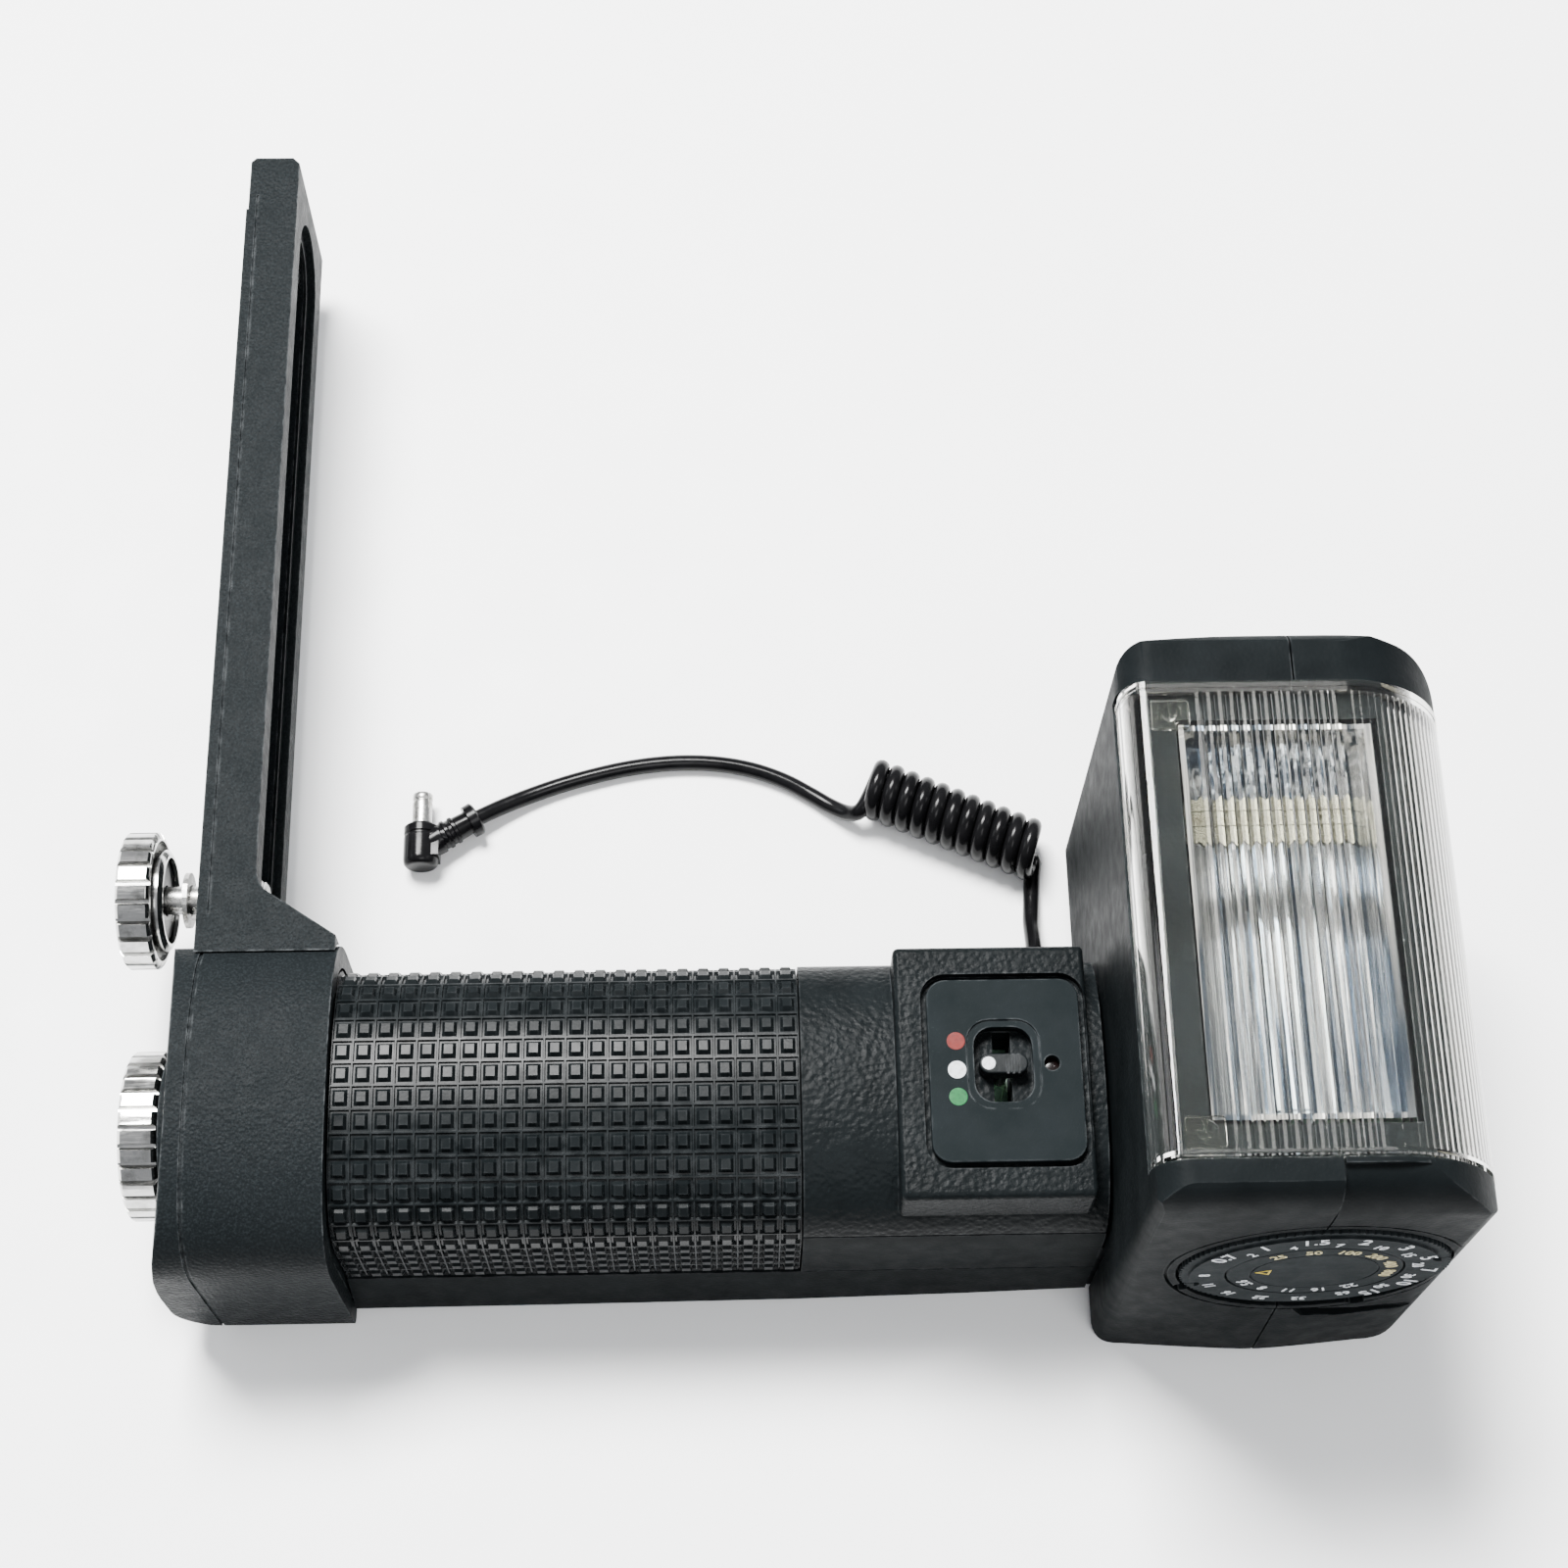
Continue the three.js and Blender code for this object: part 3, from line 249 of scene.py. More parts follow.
def floor_paint():
    p = Paint("floor_finish", Specular_IOR_Level=0.25)
    tone = p.blend(p.clouds(60, 5.0, 0.35, 0.7), (0.9, 0.905, 0.91), (0.925, 0.93, 0.935))
    return p.finished(tone, p.clouds(18, 4.0, 0.3, 0.7, 0.42, 0.6), p.noise(8, 4.0), 0.02, 0.3)


BLACK, DARK, GREY = (0.0027, 0.0036, 0.004), (0.0049, 0.0062, 0.0068), (0.0058, 0.007, 0.0077)
SPECKLE = (0.35, 0.5, (0.0085, 0.0105, 0.0115))
finish = {
    "shell": moulded("shell_finish", BLACK, DARK, 0.5, 0.55, 0.02, shine=0.018),
    "leather": moulded("leather_finish", BLACK, DARK, 0.36, 0.85, 0.13, shine=0.03),
    "bracket": moulded("bracket_finish", DARK, GREY, 0.42, 0.55, 0.1, 0.9, SPECKLE, 0.016),
    "grip": moulded("grip_finish", BLACK, DARK, 0.24, 0.35, 0.004, 0.35),
    "smooth": moulded("smooth_finish", BLACK, DARK, 0.3, 0.5, 0.01, 0.4, shine=0.08),
    "plate": moulded("plate_finish", (0.0045, 0.0064, 0.007), (0.007, 0.0092, 0.0102), 0.55, 0.3, 0.01, 0.9,
                     shine=0.02),
    "dial": moulded("dial_finish", (0.008, 0.0102, 0.011), (0.012, 0.0147, 0.016), 0.55, 0.3, 0.012, 0.4,
                    shine=0.02),
    "chrome": metal("chrome_finish", (0.5, 0.5, 0.49), (0.24, 0.24, 0.23), 0.18, (0.1, 1, 1)),
    "steel": metal("steel_finish", (0.4, 0.4, 0.39), (0.24, 0.23, 0.21), 0.32),
    "brass": metal("brass_finish", (0.62, 0.45, 0.2), (0.4, 0.3, 0.15), 0.3),
    "band": metal("band_finish", (0.09, 0.09, 0.07), (0.05, 0.047, 0.033), 0.3),
    "clear": clear_plastic("lens_clear_finish", (0.985, 0.98, 0.955), (0.96, 0.94, 0.87), 0.03),
    "glass": clear_plastic("tube_glass_finish", (0.8, 0.87, 0.93), (0.7, 0.78, 0.86), 0.05),
    "sensor": moulded("sensor_finish", (0.003, 0.002, 0.002), (0.006, 0.003, 0.003), 0.14, 0.5, 0.004, 0.2,
                      shine=0.4),
    "mirror": mirror(),
    "vinyl": vinyl(),
    "board": circuit(),
    "cell": jacket("cell_finish", (0.42, 0.33, 0.1), (0.04, 0.04, 0.045)),
    "capacitor": jacket("capacitor_finish", (0.02, 0.035, 0.1), (0.3, 0.32, 0.36)),
    "cream_plastic": moulded("cream_plastic_finish", (0.34, 0.33, 0.27), (0.42, 0.41, 0.34), 0.4, 0.5, 0.01, 0.0),
    "white": printed("white_print", (0.5, 0.52, 0.54), (0.3, 0.3, 0.3)),
    "cream": printed("cream_print", (0.42, 0.37, 0.2), (0.22, 0.2, 0.12)),
    "yellow": printed("yellow_print", (0.4, 0.3, 0.03), (0.22, 0.17, 0.03)),
    "red": printed("red_print", (0.095, 0.009, 0.007), (0.06, 0.008, 0.007)),
    "green": printed("green_print", (0.004, 0.08, 0.022), (0.004, 0.05, 0.016)),
    "floor": floor_paint(),
}


# Solids -----------------------------------------------------------------------------------------
def raw(vertices, faces):
    mesh = bpy.data.meshes.new("solid")
    mesh.from_pydata([tuple(v) for v in vertices], [], faces)
    shape = bmesh.new()
    shape.from_mesh(mesh)
    bmesh.ops.recalc_face_normals(shape, faces=shape.faces)
    shape.to_mesh(mesh)
    shape.free()
    return thing("solid", mesh)


def settle(made):
    """Applies a solid's modifiers."""
    graph = bpy.context.evaluated_depsgraph_get()
    mesh = bpy.data.meshes.new_from_object(made.evaluated_get(graph))
    made.modifiers.clear()
    old = made.data
    made.data = mesh
    bpy.data.meshes.remove(old)
    return made


def drop(made):
    old = made.data
    bpy.data.objects.remove(made)
    bpy.data.meshes.remove(old)


def combine(operation, first, others):
    for other in others:
        step = first.modifiers.new("step", "BOOLEAN")
        step.operation = operation
        step.solver = "MANIFOLD"
        step.object = other
        settle(first)
        drop(other)
    return first


def join(first, *others):
    return combine("UNION", first, others)


def cut(first, *others):
    return combine("DIFFERENCE", first, others)


def meet(first, *others):
    return combine("INTERSECT", first, others)


def soften(made, width, segments=2, angle=32):
    """Rounds every edge sharper than angle."""
    step = made.modifiers.new("soften", "BEVEL")
    step.width = width
    step.segments = segments
    step.limit_method = "ANGLE"
    step.angle_limit = radians(angle)
    step.use_clamp_overlap = True
    return settle(made)


AXES = {"x": (1, 2, 0), "y": (0, 2, 1), "z": (0, 1, 2)}


def spot(axis, u, v, w):
    """The point at (u, v) across axis and w along it."""
    point = [0.0, 0.0, 0.0]
    for index, value in zip(AXES[axis], (u, v, w)):
        point[index] = value
    return point


def prism(axis, outline, low, high):
    n = len(outline)
    vertices = [spot(axis, u, v, w) for w in (low, high) for u, v in outline]
    sides = [(i, (i + 1) % n, n + (i + 1) % n, n + i) for i in range(n)]
    return raw(vertices, sides + [tuple(range(n)), tuple(range(n, 2 * n))])


def block(x0, x1, y0, y1, z0, z1):
    return prism("z", [(x0, y0), (x1, y0), (x1, y1), (x0, y1)], z0, z1)


def centred(x, y, half_x, half_y, z0, z1):
    """A block with (x, y) in its middle."""
    return block(x - half_x, x + half_x, y - half_y, y + half_y, z0, z1)


def lathe(axis, centre, profile, segments=40):
    """A solid of revolution. profile lists (distance along axis, radius), from end to end."""
    vertices = []
    for w, r in profile:
        vertices += [spot(axis, u, v, w) for u, v in ring(centre, r, segments)]
    n, faces = segments, []
    for k in range(0, (len(profile) - 1) * n, n):
        faces += [(k + i, k + (i + 1) % n, k + n + (i + 1) % n, k + n + i) for i in range(n)]
    return raw(vertices, faces + [tuple(range(n)), tuple(range(len(vertices) - n, len(vertices)))])


def rod(axis, radius, low, high, u, v, segments=40, edge=0.0):
    if edge:
        profile = [(low, radius - edge), (low + edge * 0.3, radius - edge * 0.3), (low + edge, radius),
                   (high - edge, radius), (high - edge * 0.3, radius - edge * 0.3), (high, radius - edge)]
    else:
        profile = [(low, radius), (high, radius)]
    return lathe(axis, (u, v), profile, segments)


# Outlines: lists of points, with round corners.
def polar(centre, radius, turn):
    """The point radius away from centre, turn radians round it."""
    return centre[0] + radius * cos(turn), centre[1] + radius * sin(turn)


def ring(centre, radius, steps):
    return [polar(centre, radius, 2 * pi * i / steps) for i in range(steps)]


def toothed(centre, teeth, tooth):
    """A closed outline of equal teeth. tooth lists (share of the pitch, radius)."""
    return [polar(centre, radius, (i + share) * 2 * pi / teeth) for i in range(teeth) for share, radius in tooth]


def arc(cu, cv, ru, rv, start, end, steps=10):
    turns = [radians(start + (end - start) * i / steps) for i in range(steps + 1)]
    return [(cu + ru * cos(t), cv + rv * sin(t)) for t in turns]


def path(*items):
    """An outline of points, lists of points and Bezier curves.

    A curve is (steps, control, ..., end). It starts at the point before it.
    """
    made = []
    for item in items:
        if isinstance(item, list):
            made += item
        elif isinstance(item[1], tuple):
            steps, *controls = item
            controls = [made[-1], *controls]
            for i in range(1, steps + 1):
                points = [Vector(c) for c in controls]
                while len(points) > 1:
                    points = [a.lerp(b, i / steps) for a, b in zip(points, points[1:])]
                made.append(tuple(points[0]))
        else:
            made.append(item)
    return made


def round_box(u0, u1, v0, v1, r, steps=6):
    return (arc(u1 - r, v0 + r, r, r, -90, 0, steps) + arc(u1 - r, v1 - r, r, r, 0, 90, steps)
            + arc(u0 + r, v1 - r, r, r, 90, 180, steps) + arc(u0 + r, v0 + r, r, r, 180, 270, steps))


def d_outline(half, rear, front, shoulder, steps=18):
    """D-shaped section: flat rear, upright sides and a bowed front."""
    r = 2.2
    fullness = 0.72
    rise = shoulder + fullness * (front - shoulder)
    return path((r - half, rear), (half - r, rear), (4, (half, rear), (half, rear + r)), (half, shoulder),
                (steps, (half, rise), (fullness * half, front), (0, front)),
                (steps, (-fullness * half, front), (-half, rise), (-half, shoulder)),
                (-half, rear + r), (4, (-half, rear), (r - half, rear)))[:-1]


HANDLE = Sizes(start=28.3, end=147.2, half=22.7, rear=0.6, front=44.4, shoulder=28, split=15.3)
COLLAR = Sizes(length=28, half=26.7, top=46.2, shoulder=30, heel=11.5)


def handle_outline(inset):
    h = HANDLE
    return d_outline(h.half - inset, h.rear + inset, h.front - inset, h.shoulder - inset / 2)


def collar_outline(inset):
    c = COLLAR
    return d_outline(c.half - inset, inset, c.top - inset, c.shoulder - inset / 2)


def dress(made, name, body, slot, paint, *nodes, smooth=40, flat=False):
    """Turns a solid in millimetres into a piece in the row frame, with its body and finish. Its slot argument is
    not used.
    """
    made.data.transform(TO_ROW)
    made.name = name
    made.data.name = name
    made.data.materials.clear()
    made.data.materials.append(finish[paint])
    if not flat:
        made.data.shade_smooth()
        made.data.set_sharp_from_angle(angle=radians(smooth))
        step = made.modifiers.new("even", "WEIGHTED_NORMAL")
        step.keep_sharp = True
        settle(made)
    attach(made, body)
    if nodes:
        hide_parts(*nodes)
    return made



# Sync cord, its strain relief and its plug ------------------------------------------------------
CORD_RADIUS = 1.43
GLAND_X, GLAND_Z = 141.5, 8
COIL_START, COIL_END = Vector((143.4, 53.4, 5.5)), Vector((115.6, 65.8, 5.5))
COIL_RADIUS = 4.05
COIL_FROM, COIL_TO = -90, -3930
LEAD = [(GLAND_X, 25.6, GLAND_Z), (GLAND_X, 28.4, GLAND_Z), (141.7, 31, 7.8), (141.9, 34, 6.9),
        (142, 37.5, 4.9), (142.1, 41, 2.9), (142.4, 44.5, 1.9), (142.7, 47.8, 1.5), (143, 51, 1.45)]
FREE = [(113.2, 61.8, 5.3), (111.2, 62.1, 3.3), (108.3, 63.9, 2), (104.6, 66.5, 1.5), (100.3, 69.1, 1.5),
        (95, 71.3, 1.5), (89.4, 72.6, 1.5), (83.6, 73.1, 1.5), (77.8, 72.9, 1.5), (72, 72.1, 1.5),
        (66.3, 70.8, 1.5), (60.5, 69.1, 1.5), (55, 67, 1.7), (50.2, 64.7, 2.3), (46.4, 62.5, 3),
        (43.8, 60.95, 3.3)]


def coil_points(steps_per_turn=16):
    axis = COIL_END - COIL_START
    across = Vector((axis.y, -axis.x, 0)).normalized()
    steps = round((COIL_FROM - COIL_TO) / 360 * steps_per_turn)
    made = []
    for share in (i / steps for i in range(steps + 1)):
        turn = radians(COIL_FROM + (COIL_TO - COIL_FROM) * share)
        radial = across * cos(turn) + Vector((0, 0, sin(turn)))
        made.append(COIL_START + axis * share + radial * COIL_RADIUS)
    return made


def through(points, step=1.1):
    """A smooth line through the points (centripetal Catmull-Rom), sampled about every step."""
    points = [Vector(p) for p in points]
    ends = [points[0] * 2 - points[1], *points, points[-1] * 2 - points[-2]]
    made = [points[0]]
    for a, b, c, d in zip(ends, ends[1:], ends[2:], ends[3:]):
        t1 = (b - a).length ** 0.5
        t2 = t1 + (c - b).length ** 0.5
        t3 = t2 + (d - c).length ** 0.5
        count = max(1, ceil((c - b).length / step))
        for i in range(1, count + 1):
            t = t1 + (t2 - t1) * i / count
            middle = b.lerp(c, (t - t1) / (t2 - t1))
            before = a.lerp(b, t / t1).lerp(middle, t / t2)
            after = middle.lerp(c.lerp(d, (t - t2) / (t3 - t2)), (t - t1) / (t3 - t1))
            made.append(before.lerp(after, (t - t1) / (t2 - t1)))
    return made


def make_cord():
    points = [row(p) for p in through([*LEAD, *coil_points(), *FREE])]
    data = bpy.data.curves.new("sync_cord", "CURVE")
    data.dimensions = "3D"
    data.bevel_depth = CORD_RADIUS * MM
    data.bevel_resolution = 5
    data.use_fill_caps = True
    spline = data.splines.new("POLY")
    spline.points.add(len(points) - 1)
    for knot, point in zip(spline.points, points):
        knot.co = (*point, 1)
    data.materials.append(finish["vinyl"])
    made = thing("sync_cord", data)
    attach(made, "handle")
    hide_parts("cord_lead", "cord_coil", "cord_free")
    return made


def strain_relief():
    """A collar in the shell with four shrinking rings."""
    profile = [(18.6, 2.9), (23.3, 2.9), (23.6, 2.6)]
    for k in range(4):
        y, r = 23.7 + k * 1.05, 2.75 - 0.22 * k
        profile += [(y, r - 0.3), (y + 0.12, r), (y + 0.7, r - 0.05), (y + 0.82, r - 0.42)]
    profile += [(27.9, 1.75)]
    made = lathe("y", (GLAND_X, GLAND_Z), profile)
    return dress(made, "strain_relief", "handle", "cord_vinyl", "vinyl", "cord_gland")


def plug():
    """Right-angle plug: its barrel follows the cord, its sleeve and pin point along y."""
    z = 3.3
    elbow, mouth = Vector((36.2, 56.4, z)), Vector((45.9, 62.2, z))
    x, long = elbow.x, (mouth - elbow).length
    profile = [(0, 2.5), (3.4, 2.7), (3.9, 2.7), (4.1, 2.35), (4.7, 2.35), (4.9, 2.6), (5.4, 2.6), (5.6, 2.3),
               (6.2, 2.25), (6.4, 2.5), (6.9, 2.5), (7.1, 2.2), (long - 1.9, 2.1), (long - 1.8, 2.95),
               (long - 0.3, 3.0), (long, 2.7)]
    barrel = lathe("z", (0, 0), profile, 36)
    turn = (mouth - elbow).to_track_quat("Z", "Y").to_matrix().to_4x4()
    barrel.data.transform(Matrix.Translation(elbow) @ turn)
    knuckle = lathe("y", (x, z), [(52.8, 2.1), (53.0, 2.6), (53.4, 2.95), (54.2, 3.1), (58.2, 3.1), (58.5, 2.8),
                                  (58.8, 2.8), (59.0, 3.1), (60.2, 3.1), (60.6, 2.7)])
    web = block(x - 1.2, x + 3.2, 54.4, 58.4, z - 2.4, z + 2.4)
    body = cut(join(knuckle, barrel, web), rod("y", 1.85, 58.5, 62, x, z))
    body = dress(soften(body, 0.15), "plug_housing", "handle", "cord_vinyl", "vinyl", "plug_body")
    sleeve = lathe("y", (x, z), [(58.7, 1.7), (64.9, 1.75), (65.1, 1.62), (65.4, 1.62), (65.6, 1.75),
                                 (66.5, 1.72), (66.7, 1.55)])
    sleeve = cut(sleeve, rod("y", 1.35, 59.5, 68, x, z))
    for turn in (45, 135):
        slit = block(-0.16, 0.16, 63.6, 68, -3, 3)
        slit.data.transform(Matrix.Translation((x, 0, z)) @ Matrix.Rotation(radians(turn), 4, "Y"))
        sleeve = cut(sleeve, slit)
    sleeve = dress(sleeve, "plug_ferrule", "handle", "steel", "steel", "plug_sleeve")
    tip = lathe("y", (x, z), [(59.7, 0.5), (65.4, 0.5), (65.9, 0.35), (66.1, 0.12)], 20)
    tip = dress(tip, "plug_tip", "handle", "brass", "brass", "plug_pin")
    return [body, sleeve, tip]


sync_cord = make_cord()
relief = strain_relief()
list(plug())


# Bracket: collar, slotted arm, its screws and the two knobs ---------------------------------------
ARM = Sizes(x0=5.4, x1=14.4, z0=10.5, z1=40.5, end=175.9, gusset=37.5, web=2.3)
CHANNEL = Sizes(y0=29.5, y1=168, half=7.2, lip_half=9.6, lip=1.8, slot_half=3.6)
KNOB = Sizes(y=38.3, z=25.5, thread=3.175, neck=2.3, tip=14.1, radius=11.25, rim0=-8.9, rim1=-1)
CLAMP = Sizes(z=19.5, radius=13.5, thick=6, stud=3)
BRACKET_SCREWS = ((9.5, 13), (22, 13))


def heel_block(inset):
    """Side view of the collar: its rear outer corner is a large round, and its end leans back."""
    reach, heel = 60, COLLAR.heel
    lean = ((3.9, reach), (3.9, 47), (3.2, 43.5), (1.7, 37), (0.7, 30), (0.15, 24), (0, 20), (0, heel))
    outline = [(reach, inset), (reach, reach), *((inset + x, z) for x, z in lean)]
    outline += arc(heel, heel, heel - inset, heel - inset, 180, 270, 14)[1:]
    return prism("y", outline, -reach, reach)


def collar_piece():
    """The cup, with a fine groove round its outer end and a boss round the clamp stud."""
    wall, floor, groove_x = 3, 5, 6.4
    length, half = COLLAR.length, COLLAR.half
    cup = meet(prism("x", collar_outline(0), 0, length), heel_block(0))
    cup = cut(cup, cut(prism("x", collar_outline(-2), groove_x, groove_x + 0.55),
                       prism("x", collar_outline(0.28), 0, 20)))
    cup = join(cup, rod("x", CLAMP.radius - 0.2, 0, floor, 0, CLAMP.z, 64))
    hollow = meet(prism("x", collar_outline(wall), floor, length + 1), heel_block(wall))
    cup = cut(cup, hollow, rod("x", CLAMP.stud + GAP, -1, floor + 1, 0, CLAMP.z))
    for x, z in BRACKET_SCREWS:
        cup = cut(cup, rod("y", 1.6, half - 5, half + 5, x, z, 20), rod("y", 2.9, half - 5, half - 1.4, x, z, 28))
    dress(soften(cup, 0.45, 3, 40), "collar_cup", "bracket", "bracket_plastic", "bracket", "bracket_collar")


def channel(near, far, half, low, high):
    """A solid like the arm's channel, with round ends moved along the arm by near and far."""
    y0, y1, z = CHANNEL.y0 + near + half, CHANNEL.y1 + far - half, KNOB.z
    return prism("x", arc(y1, z, half, half, -90, 90, 14) + arc(y0, z, half, half, 90, 270, 14), low, high)


def arm_piece():
    a, c = ARM, CHANNEL
    shoulder, foot, half, bevel = COLLAR.length - 0.4, 15, COLLAR.half, 1.2
    outline = path((a.x0, foot), (shoulder, foot), (shoulder, half - 0.6), (a.x1 + 1.4, a.gusset - 3.4),
                   (6, (a.x1, a.gusset - 2), (a.x1, a.gusset + 1.5)), (a.x1, a.end - bevel),
                   (a.x1 - bevel, a.end), (a.x0 + bevel, a.end), (a.x0, a.end - bevel))
    made = cut(prism("z", outline, a.z0, a.z1), prism("x", collar_outline(-GAP), -5, COLLAR.length + 5),
               channel(0, 0, c.half, a.x0 + a.web, 40), channel(-1.9, 1.9, c.lip_half, a.x1 - c.lip, 40),
               channel(2, -3, c.slot_half, a.x0 - 1, 40),
               *[rod("y", 1.2, half - 3, half + 6, x, z, 16) for x, z in BRACKET_SCREWS])
    # Fine groove along both long edges, and an end pad a little lower than the rest.
    for z in (a.z0, a.z1):
        made = cut(made, block(a.x0 + 1.75, a.x0 + 2.05, 30, a.end - 8, z - 0.25, z + 0.25),
                   block(a.x0 - 1, a.x0 + 0.35, a.end - 11, 200, z - 12, z + 12))
    dress(soften(made, 0.35, 2, 35), "bracket_rail", "bracket", "bracket_plastic", "bracket", "bracket_arm")


def channel_parts():
    """Polished rails along the channel's step, and short ribs at its far end."""
    a, c, step = ARM, CHANNEL, ARM.x1 - CHANNEL.lip
    rails = cut(channel(-1.5, 1.5, c.lip_half - 0.35, step + 0.02, step + 0.5),
                channel(0.4, -0.4, c.half + 0.25, 0, 40))
    dress(soften(rails, 0.12), "channel_rails", "bracket", "bracket_plastic", "smooth")
    ribs = [join(*[block(a.x0 + a.web - 0.05, step - 0.6, y - 0.2, y + 0.2, KNOB.z + low, KNOB.z + low + 2.2)
                   for low in (4.2, -6.4)])
            for y in (c.y1 - 2.4 - 0.75 * k for k in range(5))]
    dress(join(*ribs), "channel_ribs", "bracket", "bracket_plastic", "smooth")


def cross_screw(name, axis, u, v, low, head_low, head_high, radius, body, node):
    """A cross-recessed screw whose head faces the high end, or the low end if head_high < head_low."""
    out = 1 if head_high > head_low else -1
    profile = sorted([(head_low, radius), (head_low + out * 0.35, radius), (head_high - out * 0.35, radius),
                      (head_high, radius * 0.72)])
    made = join(lathe(axis, (u, v), profile, 28), rod(axis, 0.95, *sorted((low, head_low)), u, v, 16))
    depth = sorted((head_high - out * 0.7, head_high + out))
    for du, dv in ((radius * 0.62, 0.3), (0.3, radius * 0.62)):
        corners = [(u - du, v - dv), (u + du, v - dv), (u + du, v + dv), (u - du, v + dv)]
        made = cut(made, prism(axis, corners, *depth))
    dress(made, name, body, "steel", "steel", node, smooth=35)


def fluted(radius, flutes, x0, x1, y, z):
    """Knob rim: wide flats with narrow grooves between them, and chamfered ends."""
    floor = radius - 1.0
    rim = prism("x", toothed((y, z), flutes, ((0.04, radius), (0.3, radius), (0.5, radius), (0.7, radius),
                                              (0.79, floor), (0.95, floor))), x0, x1)
    shape = lathe("x", (y, z), [(x0, radius - 0.9), (x0 + 0.25, radius - 0.35), (x0 + 0.7, radius + 0.1),
                                (x1 - 0.7, radius + 0.1), (x1 - 0.25, radius - 0.35), (x1, radius - 0.9)], 80)
    return meet(rim, shape)


def camera_knob():
    k = KNOB
    at = (k.y, k.z)
    back = k.rim1 - 2.3

    def hole(radius, low, high, segments=64):
        return rod("x", radius, low, high, *at, segments)

    rim = fluted(k.radius, 22, k.rim0, back, *at)
    rim = cut(rim, hole(9.9, back - 1.3, back + 1),
              cut(hole(k.radius - 3, k.rim0 - 1, k.rim0 + 0.5), hole(k.radius - 4.6, k.rim0 - 2, k.rim0 + 2)))
    hub = lathe("x", at, [(back - 2, 8.4), (back + 0.8, 8.4), (back + 1.2, 8.1), (back + 1.5, 7.6)], 64)
    made = cut(join(rim, hub), hole(7.1, back - 1.6, back + 2),
               hole(k.neck + GAP, k.rim0 + 2.5, k.rim1 + 3, 40))
    dress(soften(made, 0.1, 1, 40), "camera_knob_rim", "camera_screw", "chrome", "chrome", "camera_knob",
          smooth=25)
    # A black lining in the recess behind the hub: painted shade that keeps the hollow dark.
    recess_shade = cut(lathe("x", at, [(back - 1.6, 6.9), (back + 0.4, 6.9), (back + 0.7, 6.6)], 56),
                 hole(k.neck + GAP, back - 3, back + 2, 40))
    dress(recess_shade, "camera_knob_recess_shade", "camera_screw", "bracket_plastic", "smooth")

    root, pitch = k.thread - 0.42, 0.635 * 2
    profile = [(k.rim0 + 2.8, k.neck - 0.3), (k.rim0 + 3.1, k.neck), (k.tip - 4.5, k.neck)]
    x = k.tip - 4.4
    while x < k.tip - 1:
        profile += [(x, root), (x + pitch * 0.38, k.thread), (x + pitch * 0.5, k.thread),
                    (x + pitch * 0.88, root)]
        x += pitch
    profile += [(k.tip - 0.5, k.thread - 0.3), (k.tip, k.thread - 0.9)]
    dress(lathe("x", at, profile, 36), "camera_thread", "camera_screw", "steel", "steel", "camera_screw")


def clamp_knob():
    inner, outer, at = -GAP, -GAP - CLAMP.thick, (0, CLAMP.z)
    rim = cut(fluted(CLAMP.radius, 28, outer, inner, *at),
              lathe("x", at, [(outer - 1, 10.4), (outer + 0.1, 10.2), (outer + 0.8, 9.6)], 64),
              rod("x", CLAMP.stud + GAP, outer + 2.5, inner + 1, *at))
    rim = join(rim, lathe("x", at, [(outer + 0.5, 4.6), (outer + 0.9, 4.6), (outer + 2.2, 4.4)], 48))
    dress(soften(rim, 0.1, 1, 40), "clamp_knob_rim", "clamp_knob", "chrome", "chrome", "clamp_knob", smooth=25)


collar_piece()
arm_piece()
channel_parts()
for index, (x, z) in enumerate(BRACKET_SCREWS, 1):
    cross_screw(f"collar_screw_{index}", "y", x, z, 30.5, 25, 23.8, 2.6, "bracket", f"bracket_screw_{index}")
camera_knob()
clamp_knob()


# Grip -------------------------------------------------------------------------------------------
GRIP_END = 100.2
GRIP_COLUMNS, GRIP_ROWS = 22, 24


